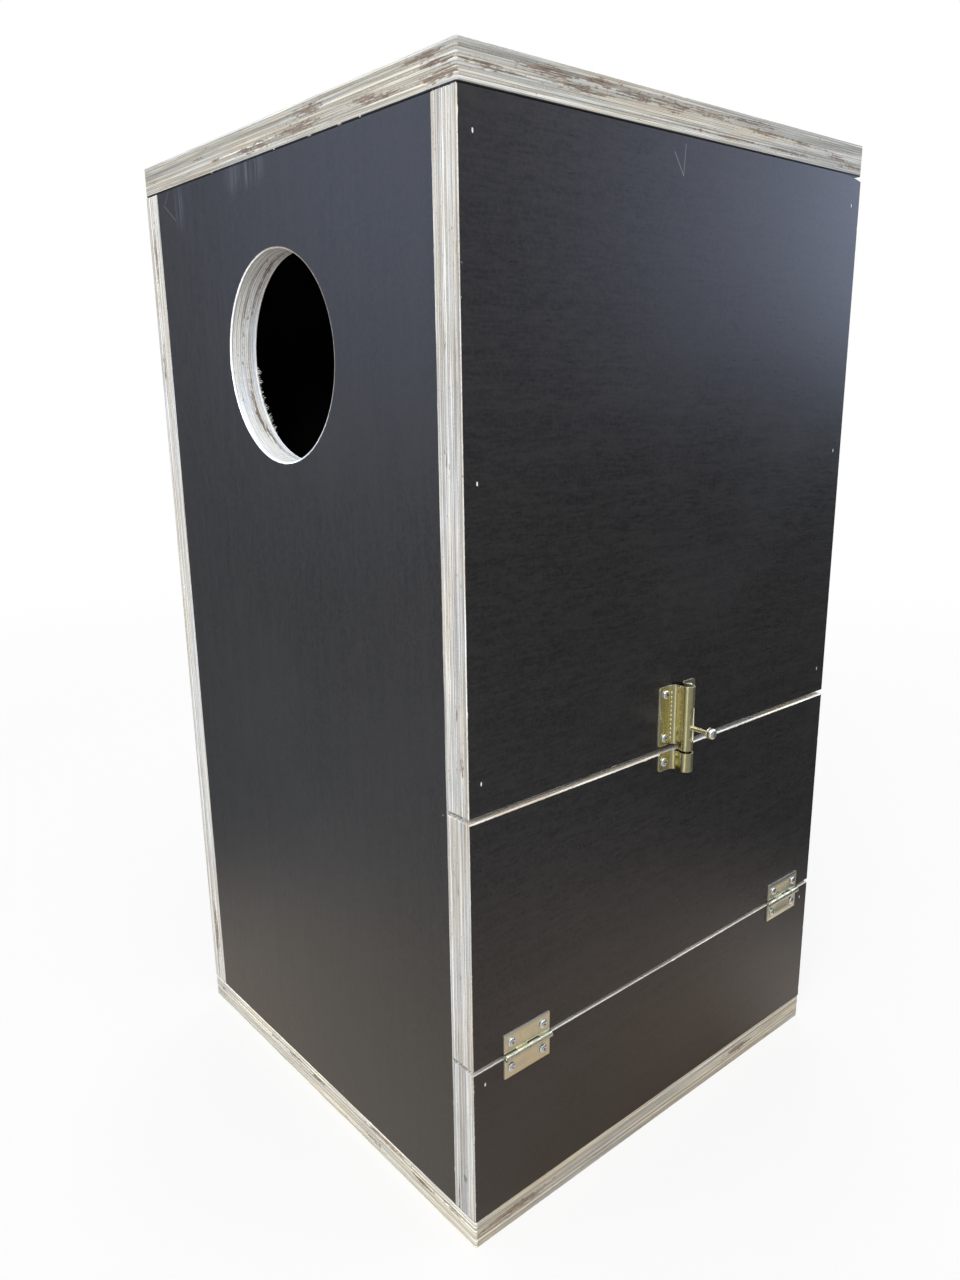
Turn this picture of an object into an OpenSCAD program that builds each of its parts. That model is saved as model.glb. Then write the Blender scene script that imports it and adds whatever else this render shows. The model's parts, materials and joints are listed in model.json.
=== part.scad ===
// Parrot nest box of film-faced plywood, with a drop-down inspection door on one side.
// The entrance is in the front, at -Y. The door, its hinges and its bolt are on the right, at +X.
// The origin is the centre of the floor panel's underside, and +Z is up. All sizes are in mm.

/* [Box] */
// Clear width inside, between the two sides
inner_w = 300; // [250:5:400]
// Clear depth inside, between the front and the back
inner_d = 300; // [250:5:400]
// Clear height inside, between the floor and the roof
inner_h = 600; // [540:5:800]
// Thickness of the plywood
ply_t = 18; // [15:0.5:21]
// Rounding of the upright corners of the roof and the floor
corner_r = 1.5; // [0.5:0.1:4]

/* [Entrance] */
// Diameter of the entrance hole
hole_d = 120; // [70:5:160]
// From the roof's underside down to the top of the entrance hole
hole_drop = 50; // [30:5:80]

/* [Door] */
// Height of the fixed panel under the door
lower_h = 100; // [80:5:120]
// Height of the door
door_h = 150; // [120:5:190]
// Gap between the fixed lower panel and the door
hinge_gap = 2; // [1.5:0.1:2.6]
// Room left over the door's inner edge as it swings past the upper panel
swing_clear = 1.1; // [0.6:0.1:2]

/* [Hinges] */
// Length of a hinge along its pin
hinge_l = 36; // [30:1:50]
// Width of one hinge leaf, from the pin's axis to the leaf's edge
leaf_w = 14.5; // [13:0.5:20]
// Thickness of the hinge sheet
leaf_t = 1; // [0.8:0.1:1.2]
// Diameter of the hinge pin
pin_d = 2; // [1.6:0.1:2.4]
// Number of knuckles on a hinge, shared by its two leaves
knuckles = 4; // [2:2:6]
// From the box's front corner to the front hinge
front_hinge_inset = 22.5; // [12:0.5:60]
// From the box's back corner to the rear hinge
rear_hinge_inset = 17.5; // [12:0.5:60]
// From the end of a leaf to its screws
leaf_screw_inset = 5.5; // [4:0.5:8]
// Rounding of the leaf's free corners
leaf_corner_r = 0.6; // [0.2:0.1:2]

/* [Bolt] */
// Place of the bolt along the side, from the middle towards the back
bolt_y = -0.5; // [-60:0.5:60]
// Diameter of the bolt rod
rod_d = 6.4; // [5:0.1:6.8]
// Height of the rod's axis above the panel's face
rod_axis_h = 8.6; // [7.6:0.1:10]
// Thickness of the bolt's and keeper's sheet
sheet_t = 0.7; // [0.5:0.05:1.1]
// Width of the bolt's base plate
plate_w = 34; // [31:1:50]
// Height of the bolt's base plate
plate_l = 38; // [36:1:60]
// Rounding of the plate's corners
plate_corner_r = 2; // [0.5:0.1:4]
// Radius of the bend between the plate and the barrel's neck
bend_r = 3.4; // [1:0.1:4.2]
// Half the outer width of the neck under the barrel
neck_half = 3.4; // [2.6:0.1:3.8]
// How far the barrel reaches down past its base plate
barrel_drop = 3; // [1.5:0.1:5]
// Gap between the barrel and the keeper
keeper_gap = 1.6; // [0.8:0.1:3]
// Height of the keeper
keeper_h = 12; // [9:0.5:16]
// Width of the keeper's base plate
keeper_w = 32; // [31:1:50]
// From the barrel's lower end up to the knob's axis at rest
knob_up = 15; // [13.5:0.1:18]
// Travel of the bolt downwards, into the keeper
throw_down = 7; // [4:0.5:11]
// Travel of the bolt upwards
throw_up = 11; // [4:0.5:16]
// How far the rod's upper end stands out of the barrel, at rest
rod_top = 0.4; // [0.2:0.2:10]
// From the rod's axis to the middle of the knob
knob_reach = 17.9; // [15:0.1:24]
// Diameter of the knob
knob_d = 7; // [4:0.1:9]
// Length of the knob
knob_l = 6; // [4:0.1:8]
// Diameter of the knob's stem at the rod
stem_d = 3.2; // [2.4:0.1:3.4]
// Diameter of the knob's stem at the knob
stem_tip_d = 2.6; // [1.6:0.1:2.8]
// From the ends of the bolt's plate to its screws
plate_screw_inset = 5; // [4:0.5:7]
// From the rod's axis to the screws of the bolt and the keeper
plate_screw_side = 11.4; // [11.2:0.1:12.5]

/* [Screws] */
// Diameter of a screw's shank
screw_d = 2.8; // [2:0.1:3.2]
// Diameter of a screw's head
screw_head_d = 5.6; // [4.4:0.1:6]
// Height of a screw's head
screw_head_h = 1.7; // [1.2:0.1:2.4]
// Length of a hardware screw under its head
screw_l = 13; // [8:0.5:14.5]
// Width of the cross recess's arms
recess_w = 0.7; // [0.4:0.1:1]
// Depth of the cross recess
recess_deep = 1; // [0.5:0.1:1.1]

/* [Brads] */
// Length of a brad
brad_l = 38; // [28:1:50]
// Width of a brad across the grain
brad_w = 1; // [0.8:0.1:1.6]
// Thickness of a brad's shank
brad_t = 1.3; // [1:0.1:1.6]
// Length of a brad's head
brad_head = 2.2; // [1.8:0.1:3]
// Thickness of a brad's head
brad_head_t = 0.8; // [0.5:0.1:1.2]
// How far a brad's head is sunk under the film
brad_sink = 0.2; // [0.1:0.1:0.6]
// From the ends of a panel to its first brad
brad_inset = 18; // [14:1:40]
// From the tips of the side brads to the first brads of the roof and the floor
lid_brad_room = 10; // [4:1:40]
// From the lower fixed panel's top edge down to its brads
lower_brad_drop = 10; // [8:1:30]

/* [Climbing rungs] */
// Number of rungs under the entrance
rung_count = 7; // [3:1:12]
// Length of a rung
rung_l = 160; // [100:5:220]
// Height of a rung
rung_h = 18; // [12:1:24]
// Depth of a rung, out from the front panel
rung_deep = 14; // [10:1:20]
// Rounding of a rung's edges
rung_r = 3; // [1:0.5:4]
// From the floor up to the middle of the lowest rung
first_rung = 60; // [40:5:100]
// From the entrance hole down to the middle of the highest rung
last_rung = 42; // [30:1:80]
// How far a rung's screw reaches into the front panel
rung_screw_grip = 12; // [6:1:14]
// From a rung's end to its screw
rung_screw_inset = 20; // [10:1:40]

/* [Clearances] */
// Room round the hinge pin, on the radius
pin_clear = 0.05; // [0.02:0.01:0.08]
// Room between a hinge's knuckles and the panel faces
knuckle_lift = 0.1; // [0.1:0.05:0.3]
// Room between a leaf's edge and the other leaf's knuckles
knuckle_slit = 0.3; // [0.2:0.05:0.6]
// Room between neighbouring knuckles
knuckle_end_gap = 0.3; // [0.2:0.05:0.6]
// Room round the rod in its barrel, on the radius
rod_clear = 0.3; // [0.1:0.05:0.4]
// Room round the rod in the keeper, on the radius
keeper_clear = 0.7; // [0.5:0.05:0.9]
// Room on each side of the knob's stem in the slot
slot_clear = 0.3; // [0.2:0.1:0.8]
// Room round a screw in a metal plate, on the radius
plate_hole_clear = 0.2; // [0.1:0.05:0.4]
// Room round a screw, a brad or a tenon in its hole
pilot_clear = 0.05; // [0.02:0.01:0.1]
// From the rod's tip up to the barrel's lower end, at rest
tip_clear = 0.2; // [0:0.05:0.4]

/* [Hidden] */
$fn = 48;
// Turn of a screw's recess, set anew wherever screws are placed
$turn = 0;
// A little extra length that lets a cut run right through
over = 1;

// Outside sizes of the box
box_w = inner_w + 2 * ply_t;
box_d = inner_d + 2 * ply_t;
box_h = inner_h + 2 * ply_t;
half_w = box_w / 2;
half_d = box_d / 2;
roof_z = ply_t + inner_h;

// Entrance hole
hole_z = roof_z - hole_drop - hole_d / 2;

// Hinge: a sheet knuckle rolled round the pin, standing clear of the panel's face
pin_bore_r = pin_d / 2 + pin_clear;
knuckle_r = pin_bore_r + leaf_t;
pin_h = knuckle_r + knuckle_lift;
leaf_start = knuckle_r + knuckle_slit;
leaf_screw_z = (leaf_start + leaf_w) / 2;
front_hinge_y = -half_d + front_hinge_inset + hinge_l / 2;
rear_hinge_y = half_d - rear_hinge_inset - hinge_l / 2;

// Door: its inner upper edge rises a little as it swings, and the gap above leaves room for that
lower_z = ply_t + lower_h;
pin_z = lower_z + hinge_gap / 2;
door_z = lower_z + hinge_gap;
door_top = door_z + door_h;
swing_reach = door_top - pin_z;
swing_rise = sqrt(pow(swing_reach, 2) + pow(ply_t + pin_h, 2)) - swing_reach;
latch_gap = swing_rise + swing_clear;
upper_z = door_top + latch_gap;

// Bolt and keeper
bore_r = rod_d / 2 + rod_clear;
barrel_r = bore_r + sheet_t;
keeper_bore_r = rod_d / 2 + keeper_clear;
keeper_r = keeper_bore_r + sheet_t;
barrel_l = plate_l + barrel_drop;
barrel_z = door_top + keeper_gap;
plate_z = barrel_z + barrel_drop;
keeper_z = door_top - keeper_h;
knob_z = barrel_z + knob_up;
rod_z = barrel_z + tip_clear;
rod_l = barrel_l - tip_clear + rod_top;
slot_w = stem_d + 2 * slot_clear;
plate_hole_r = screw_d / 2 + plate_hole_clear;
// The tenon of the stem, in its blind hole in the rod
tenon_r = stem_d / 2 - 0.3;
tenon_l = 0.7 * rod_d;
plate_screw_zs = [plate_screw_inset, plate_l - plate_screw_inset];

// Brads: heights on the sides, and places along the edges of the roof and the floor
brad_y = half_d - ply_t / 2;
brad_x = half_w - ply_t / 2;
function spread(low, high, count) = [for (i = [0 : count - 1]) low + (high - low) * i / (count - 1)];
upper_brads = spread(upper_z + brad_inset, roof_z - brad_inset, 3);
lower_brads = [lower_z - lower_brad_drop];
left_brads = spread(ply_t + brad_inset, roof_z - brad_inset, 4);
lid_brad_inset = brad_l + lid_brad_room;
lid_brads_x = spread(-half_w + lid_brad_inset, half_w - lid_brad_inset, 3);
lid_brads_y = spread(-half_d + lid_brad_inset, half_d - lid_brad_inset, 3);

// Rungs: evenly spaced between the lowest and the highest
rung_low = ply_t + first_rung;
rung_high = hole_z - hole_d / 2 - last_rung;
rung_zs = spread(rung_low, rung_high, rung_count);
rung_screw_x = rung_l / 2 - rung_screw_inset;
rung_screw_l = rung_deep + rung_screw_grip;

film_colour = "#2e2d2f";
zinc_colour = "#cfcac0";
brass_colour = "#b59a55";
steel_colour = "#d8dadc";
beech_colour = "#c99f6b";

// A block with rounded edges along X, from the origin towards +Y and +Z
module rounded_block(x, y, z, r) {
    translate([0, r, 0]) cube([x, y - 2 * r, z]);
    translate([0, 0, r]) cube([x, y, z - 2 * r]);
    for (cy = [r, y - r], cz = [r, z - r])
        translate([0, cy, cz]) rotate([0, 90, 0]) cylinder(r = r, h = x);
}

// A flat board of the whole footprint, with its upright corners rounded
module lid_board() {
    translate([half_w, -half_d, 0]) rotate([0, -90, 0]) rounded_block(ply_t, box_d, box_w, corner_r);
}

// A round hole or pin along X, from x = 0 towards -X
module round_in(r, depth) {
    translate([-depth, 0, 0]) rotate([0, 90, 0]) cylinder(r = r, h = depth);
}

// A cross-recess pan-head screw along -X, its head seated on the plane x = 0.
// Each place that holds a screw gives it its own turn.
module screw(l) {
    tip_l = screw_d;
    rim_h = 0.3 * screw_head_h;
    dome_h = screw_head_h - rim_h;
    head_r = screw_head_d / 2;
    difference() {
        rotate([0, 90, 0]) rotate_extrude() polygon(concat(
            [[0, -l], [0.2, -l], [screw_d / 2, tip_l - l], [screw_d / 2, 0], [head_r, 0]],
            [for (a = [0 : 15 : 90]) [head_r * cos(a), rim_h + dome_h * sin(a)]]));
        for (a = [0, 90])
            translate([screw_head_h, 0, 0]) rotate([$turn + a, 0, 0])
                cube([2 * recess_deep, 0.62 * screw_head_d, recess_w], center = true);
    }
}

// The pilot hole of such a screw, from the wood's face
module pilot(deep) {
    translate([over, 0, 0]) round_in(screw_d / 2 + pilot_clear, deep + over);
}

// A brad along -X, its head sunk under the plane x = 0
module brad() {
    translate([-brad_sink - brad_head_t, -brad_w / 2, -brad_head / 2]) cube([brad_head_t, brad_w, brad_head]);
    translate([-brad_l, -brad_w / 2, -brad_t / 2]) cube([brad_l - brad_sink, brad_w, brad_t]);
}

// The slit that a brad leaves in the wood
module brad_slit() {
    w = brad_w + 2 * pilot_clear;
    head = brad_head + 2 * pilot_clear;
    shank = brad_t + 2 * pilot_clear;
    translate([-brad_sink - brad_head_t - pilot_clear, -w / 2, -head / 2])
        cube([brad_head_t + brad_sink + pilot_clear + over, w, head]);
    translate([-brad_l - pilot_clear, -w / 2, -shank / 2]) cube([brad_l, w, shank]);
}

// The brads of one side at the given heights, along its front and back edges
module side_places(side, heights) {
    for (y = [-brad_y, brad_y], z = heights)
        translate([side * half_w, y, z]) mirror([side < 0 ? 1 : 0, 0, 0]) children();
}

module roof_places() {
    for (x = lid_brads_x, y = [-brad_y, brad_y])
        translate([x, y, box_h]) rotate([0, -90, 0]) children();
    for (x = [-brad_x, brad_x], y = lid_brads_y)
        translate([x, y, box_h]) rotate([0, -90, 0]) children();
}

module floor_places() {
    for (x = lid_brads_x, y = [-brad_y, brad_y])
        translate([x, y, 0]) rotate([0, 90, 0]) children();
    for (x = [-brad_x, brad_x], y = lid_brads_y)
        translate([x, y, 0]) rotate([0, 90, 0]) children();
}

module rung_screw_places() {
    for (z = rung_zs, x = [-rung_screw_x, rung_screw_x]) {
        $turn = z + x;
        translate([x, -half_d + ply_t + rung_deep, z]) rotate([0, 0, 90]) children();
    }
}

// The screws of both hinges, above the pin (up = 1) or below it (up = -1)
module hinge_screw_places(up) {
    for (y = [front_hinge_y, rear_hinge_y], e = [-1, 1]) {
        $turn = 40 + y / 4 + 25 * e + 15 * up;
        translate([half_w, y + e * (hinge_l / 2 - leaf_screw_inset), pin_z + up * leaf_screw_z]) children();
    }
}

module bolt_screw_places() {
    for (y = [-plate_screw_side, plate_screw_side], z = plate_screw_zs) {
        $turn = 30 + 2 * z + y;
        translate([half_w, bolt_y + y, plate_z + z]) children();
    }
}

module keeper_screw_places() {
    for (y = [-plate_screw_side, plate_screw_side]) {
        $turn = 20 + 3 * y;
        translate([half_w, bolt_y + y, keeper_z + keeper_h / 2]) children();
    }
}

module roof_panel() {
    color(film_colour) difference() {
        translate([0, 0, roof_z]) lid_board();
        roof_places() brad_slit();
    }
}

module floor_panel() {
    color(film_colour) difference() {
        lid_board();
        floor_places() brad_slit();
    }
}

// The front and the back stand between the two sides
module end_board(y) {
    translate([-inner_w / 2, y, ply_t]) cube([inner_w, ply_t, inner_h]);
}

module all_end_slits() {
    side_places(1, concat(lower_brads, upper_brads)) brad_slit();
    side_places(-1, left_brads) brad_slit();
    roof_places() brad_slit();
    floor_places() brad_slit();
}

module front_panel() {
    color(film_colour) difference() {
        end_board(-half_d);
        translate([0, -half_d - over, hole_z]) rotate([-90, 0, 0])
            cylinder(r = hole_d / 2, h = ply_t + 2 * over, $fn = 96);
        all_end_slits();
        rung_screw_places() round_in(screw_d / 2 + pilot_clear, rung_screw_l + pilot_clear);
    }
}

module back_panel() {
    color(film_colour) difference() {
        end_board(half_d - ply_t);
        all_end_slits();
    }
}

module left_side_panel() {
    color(film_colour) difference() {
        translate([-half_w, -half_d, ply_t]) cube([ply_t, box_d, inner_h]);
        side_places(-1, left_brads) brad_slit();
        roof_places() brad_slit();
        floor_places() brad_slit();
    }
}

module right_board(low, high) {
    translate([half_w - ply_t, -half_d, low]) cube([ply_t, box_d, high - low]);
}

module right_upper_panel() {
    color(film_colour) difference() {
        right_board(upper_z, roof_z);
        side_places(1, upper_brads) brad_slit();
        roof_places() brad_slit();
        bolt_screw_places() pilot(screw_l);
    }
}

module right_lower_panel() {
    color(film_colour) difference() {
        right_board(ply_t, lower_z);
        side_places(1, lower_brads) brad_slit();
        floor_places() brad_slit();
        hinge_screw_places(-1) pilot(screw_l);
    }
}

module inspection_door() {
    color(film_colour) difference() {
        right_board(door_z, door_top);
        hinge_screw_places(1) pilot(screw_l);
        keeper_screw_places() pilot(screw_l);
    }
}

// One hinge leaf above the pin, with the knuckles whose number has the given parity
module leaf(parity) {
    knuckle_pitch = hinge_l / knuckles;
    difference() {
        union() {
            translate([0, -hinge_l / 2, leaf_start])
                rounded_block(leaf_t, hinge_l, leaf_w - leaf_start, leaf_corner_r);
            translate([0, -hinge_l / 2, leaf_start]) cube([leaf_t, hinge_l, 2 * leaf_corner_r]);
            for (i = [parity : 2 : knuckles - 1])
                translate([0, -hinge_l / 2 + i * knuckle_pitch, 0]) {
                    translate([0, knuckle_end_gap / 2, 0])
                        cube([leaf_t, knuckle_pitch - knuckle_end_gap, leaf_start + leaf_corner_r]);
                    translate([pin_h, knuckle_end_gap / 2, 0]) rotate([-90, 0, 0])
                        cylinder(r = knuckle_r, h = knuckle_pitch - knuckle_end_gap);
                }
        }
        translate([pin_h, -hinge_l / 2 - over, 0]) rotate([-90, 0, 0])
            cylinder(r = pin_bore_r, h = hinge_l + 2 * over);
        for (e = [-1, 1])
            translate([leaf_t + over, e * (hinge_l / 2 - leaf_screw_inset), leaf_screw_z])
                round_in(plate_hole_r, leaf_t + 2 * over);
    }
}

module fixed_leaf(y) {
    color(zinc_colour) translate([half_w, y, pin_z]) mirror([0, 0, 1]) leaf(0);
}

module door_leaf(y) {
    color(zinc_colour) translate([half_w, y, pin_z]) leaf(1);
}

// A plain pin with bevelled ends, a little longer than its hinge
module hinge_pin(y) {
    bevel = 0.3;
    l = hinge_l + 2 * bevel;
    color(steel_colour) translate([half_w + pin_h, y - l / 2, pin_z]) rotate([-90, 0, 0])
        rotate_extrude() polygon([[0, 0], [pin_d / 2 - bevel, 0], [pin_d / 2, bevel],
            [pin_d / 2, l - bevel], [pin_d / 2 - bevel, l], [0, l]]);
}

// A sheet bent up from a base plate into a neck and rolled into a barrel round the rod's axis.
// The barrel runs from z = 0 to l, and the plate from z = drop to l.
module rolled_sheet(width, l, drop, r, bore) {
    neck_in = neck_half - sheet_t;
    bend_h = sheet_t + bend_r;
    bend_y = neck_half + bend_r;
    difference() {
        union() {
            translate([0, -width / 2, drop]) rounded_block(sheet_t, width, l - drop, plate_corner_r);
            translate([0, -neck_half, 0]) cube([rod_axis_h, 2 * neck_half, l]);
            translate([rod_axis_h, 0, 0]) cylinder(r = r, h = l);
            for (s = [-1, 1]) difference() {
                translate([0, s * (neck_half + bend_r / 2) - bend_r / 2, drop])
                    cube([bend_h, bend_r, l - drop]);
                translate([bend_h, s * bend_y, drop - over]) cylinder(r = bend_r, h = l - drop + 2 * over);
            }
        }
        translate([rod_axis_h, 0, -over]) cylinder(r = bore, h = l + 2 * over);
        translate([-over, -neck_in, -over]) cube([rod_axis_h + over, 2 * neck_in, l + 2 * over]);
        for (s = [-1, 1]) difference() {
            translate([-over, s * (neck_in + bend_y) / 2 - bend_h / 2, -over])
                cube([bend_h + over, bend_h, l + 2 * over]);
            translate([bend_h, s * bend_y, -2 * over]) cylinder(r = bend_h, h = l + 4 * over);
        }
    }
}

// The slot that the knob's stem travels in, through the outer wall of the barrel only
module knob_slot() {
    low = knob_z - throw_down;
    high = knob_z + throw_up;
    reach = barrel_r + over;
    translate([half_w + rod_axis_h, bolt_y, 0]) {
        translate([0, -slot_w / 2, low]) cube([reach, slot_w, high - low]);
        for (z = [low, high]) translate([reach, 0, z]) round_in(slot_w / 2, reach);
    }
}

module bolt_body() {
    color(brass_colour) difference() {
        translate([half_w, bolt_y, barrel_z])
            rolled_sheet(plate_w, barrel_l, barrel_drop, barrel_r, bore_r);
        knob_slot();
        bolt_screw_places() translate([sheet_t + over, 0, 0]) round_in(plate_hole_r, sheet_t + 2 * over);
    }
}

module keeper() {
    color(brass_colour) difference() {
        translate([half_w, bolt_y, keeper_z]) rolled_sheet(keeper_w, keeper_h, 0, keeper_r, keeper_bore_r);
        keeper_screw_places() translate([sheet_t + over, 0, 0]) round_in(plate_hole_r, sheet_t + 2 * over);
    }
}

module bolt_rod() {
    bevel = 0.8;
    r = rod_d / 2;
    color(brass_colour) difference() {
        translate([half_w + rod_axis_h, bolt_y, rod_z]) rotate_extrude()
            polygon([[0, 0], [r - bevel, 0], [r, bevel], [r, rod_l], [0, rod_l]]);
        translate([half_w + rod_axis_h + r + over, bolt_y, knob_z])
            round_in(tenon_r + pilot_clear, tenon_l + pilot_clear + over);
    }
}

// The stem with its tenon and the turned knob at its end
module bolt_knob() {
    r = rod_d / 2;
    stem_l = knob_reach - r - knob_l / 2;
    knob_r = knob_d / 2;
    base = r + stem_l;
    color(brass_colour) translate([half_w + rod_axis_h, bolt_y, knob_z]) rotate([0, 90, 0])
        rotate_extrude() polygon([
            [0, r - tenon_l], [tenon_r, r - tenon_l], [tenon_r, r + 0.1], [stem_d / 2, r + 0.1],
            [stem_tip_d / 2, base], [knob_r * 0.72, base], [knob_r, base + knob_l * 0.22],
            for (a = [0 : 15 : 90])
                [knob_r * cos(a), base + knob_l * (0.5 + 0.5 * sin(a))]]);
}

module rung(i) {
    color(beech_colour) difference() {
        translate([-rung_l / 2, -half_d + ply_t, rung_zs[i - 1] - rung_h / 2])
            rounded_block(rung_l, rung_deep, rung_h, rung_r);
        rung_screw_places() translate([over, 0, 0]) round_in(screw_d / 2 + pilot_clear, rung_deep + 2 * over);
    }
}

module hinge_screws(up) {
    color(steel_colour) hinge_screw_places(up) translate([leaf_t, 0, 0]) screw(screw_l);
}

module bolt_body_screws() {
    color(steel_colour) bolt_screw_places() translate([sheet_t, 0, 0]) screw(screw_l);
}

module keeper_screws() {
    color(steel_colour) keeper_screw_places() translate([sheet_t, 0, 0]) screw(screw_l);
}

module rung_screws() {
    color(steel_colour) rung_screw_places() screw(rung_screw_l);
}

module roof_brads() {
    color(steel_colour) roof_places() brad();
}

module floor_brads() {
    color(steel_colour) floor_places() brad();
}

module left_side_brads() {
    color(steel_colour) side_places(-1, left_brads) brad();
}

module right_side_brads() {
    color(steel_colour) side_places(1, concat(lower_brads, upper_brads)) brad();
}

roof_panel();
floor_panel();
front_panel();
back_panel();
left_side_panel();
right_upper_panel();
right_lower_panel();
inspection_door();
fixed_leaf(front_hinge_y);  // front_hinge_fixed_leaf
door_leaf(front_hinge_y);  // front_hinge_door_leaf
hinge_pin(front_hinge_y);  // front_hinge_pin
fixed_leaf(rear_hinge_y);  // rear_hinge_fixed_leaf
door_leaf(rear_hinge_y);  // rear_hinge_door_leaf
hinge_pin(rear_hinge_y);  // rear_hinge_pin
hinge_screws(-1);  // hinge_fixed_screws
hinge_screws(1);  // hinge_door_screws
bolt_body();
bolt_rod();
bolt_knob();
bolt_body_screws();
keeper();
keeper_screws();
roof_brads();
floor_brads();
left_side_brads();
right_side_brads();
rung_screws();
for (i = [1 : rung_count]) rung(i);
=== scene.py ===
import json
import math
from functools import reduce
from itertools import accumulate

import bmesh
import bpy
from bpy.props import FloatProperty, FloatVectorProperty, IntProperty, PointerProperty
from mathutils import Matrix, Vector, noise


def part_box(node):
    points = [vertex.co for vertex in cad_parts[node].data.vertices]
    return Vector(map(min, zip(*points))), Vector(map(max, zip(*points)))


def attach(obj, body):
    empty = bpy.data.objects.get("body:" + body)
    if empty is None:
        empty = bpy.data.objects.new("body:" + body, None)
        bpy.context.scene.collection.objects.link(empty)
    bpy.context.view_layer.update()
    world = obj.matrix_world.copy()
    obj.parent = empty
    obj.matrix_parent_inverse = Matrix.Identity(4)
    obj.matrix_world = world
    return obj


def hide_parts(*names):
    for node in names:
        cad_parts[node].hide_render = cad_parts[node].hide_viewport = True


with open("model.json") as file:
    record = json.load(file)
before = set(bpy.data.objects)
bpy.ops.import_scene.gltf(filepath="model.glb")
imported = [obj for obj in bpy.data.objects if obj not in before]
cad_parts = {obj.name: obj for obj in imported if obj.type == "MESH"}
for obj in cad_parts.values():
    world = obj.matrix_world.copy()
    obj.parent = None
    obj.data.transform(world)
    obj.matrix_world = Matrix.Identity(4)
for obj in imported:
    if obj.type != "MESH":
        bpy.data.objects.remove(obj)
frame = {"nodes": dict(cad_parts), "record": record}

bl_info = {
    "name": "Parrot Nest Box",
    "version": (1, 0, 0),
    "blender": (4, 5, 0),
    "location": "3D View > Sidebar > Nest Box",
    "description": "A film-faced plywood nest box with bare ply edges, hinges, a sliding bolt and rungs",
    "category": "Add Mesh",
}

MM = 0.001
X, Y, Z = 0, 1, 2
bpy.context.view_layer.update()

# The photograph's frame, and the camera that was solved from the box's corners in it
PHOTO_W, PHOTO_H = 960, 1280
CAMERA_FOCAL_PX = 983.1
CAMERA_PLACE = (0.53136, -0.46588, 0.49044)
CAMERA_AHEAD = (-0.7395, 0.6252, -0.2496)
CAMERA_RIGHT = (0.6481, 0.7615, -0.0128)
SENSOR_MM = 36.0

# Sides of a board's outline, in the order in which the outline runs round its two long axes, and the
# side of a hole
LOW_B, HIGH_A, HIGH_B, LOW_A, HOLE = 0, 1, 2, 3, 4

# Finishes of a board's faces, by their place among its materials
FILM, PLY = 0, 1

# Corners sanded off by hand: per board, the side of its outline and its low (0) or high (1) face, then
# the width taken off the film and the drop down the edge, in mm
SANDED = {
    "inspection_door": {(HIGH_B, 1): (0.8, 0.7), (LOW_A, 1): (0.45, 0.4)},
    "right_lower_panel": {(HIGH_B, 1): (0.42, 0.4), (LOW_A, 1): (0.45, 0.4)},
    "right_upper_panel": {(LOW_A, 1): (0.45, 0.4)},
    "front_panel": {(HOLE, 0): (0.95, 0.22)},
}

# The wood at those corners is painted lighter by this much, a painted highlight where light catches it
SANDED_PAINTED_HIGHLIGHT = 1.4

# Edges painted lighter where more light falls on them, a painted light: the board and the side of its
# outline, and by how much
PAINTED_EDGE_LIGHT = {
    ("floor_panel", LOW_B): 1.5,
    ("roof_panel", LOW_B): 1.05,
    ("inspection_door", HIGH_B): 1.4,
    ("right_lower_panel", HIGH_B): 1.1,
    ("left_side_panel", LOW_A): 1.14,
}

# The entrance's bare edge, painted light and shade round the hole: its mean painted light, how far that
# swings round the hole, the most it may be and the place, in degrees round the hole, where it is painted
# lightest
HOLE_PAINTED_LIGHT, HOLE_SWING, HOLE_PAINTED_LIGHT_MOST, HOLE_LIT_AT = 1.2, 0.85, 1.75, 120

# Edges painted bluer, a painted tint of cool light: the board and the side of its outline, and by how much
PAINTED_COOL_LIGHT = {("floor_panel", LOW_B): 0.1, ("front_panel", HOLE): 0.05}

# Film that wraps round a corner as a dark line, deeper than the film itself so that it also stands in
# for the shadow in the joint under the roof, a painted shadow in part: the board and its low (0) or high
# (1) face, then the sides of its outline that have it, the width and the drop in mm
FILM_LIP_AND_SHADOW_LINE = {
    ("roof_panel", 0): ((LOW_B, HIGH_A, HIGH_B, LOW_A), 0.25, 0.8),
    ("right_upper_panel", 1): ((HIGH_B,), 0.2, 0.3),
    ("front_panel", 0): ((HIGH_A,), 0.2, 0.3),
    ("left_side_panel", 0): ((HIGH_B,), 0.2, 0.3),
}
# Where pale flecks break that line along the front of the roof, in mm
LIP_FLECKS = (-69.0, 8.0, 46.0, 75.0, 93.0)

# An upper edge that falls away towards one end: the start and end along it, and the fall, in mm
FALLS = {"right_upper_panel": (149.0, 168.0, 2.8)}

# Scratches in the film, as (start, end, half width) in mm, and soft scuffs, as (middle, half size)
SCRATCHES = [
    ((168.0, -19.7, 609.0), (168.0, -11.7, 598.2), 0.28),
    ((168.0, -10.6, 613.8), (168.0, -11.7, 598.2), 0.24),
    ((-132.3, -168.0, 616.2), (-139.7, -168.0, 609.0), 0.22),
    ((-139.7, -168.0, 609.0), (-123.7, -168.0, 598.0), 0.22),
]
SCUFFS = [
    ((-117.0, -168.0, 607.0), (9.0, 9.0, 21.0)),
    ((-43.0, -168.0, 613.0), (10.0, 9.0, 16.0)),
    ((-22.0, -168.0, 614.0), (28.0, 9.0, 14.0)),
]

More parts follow.
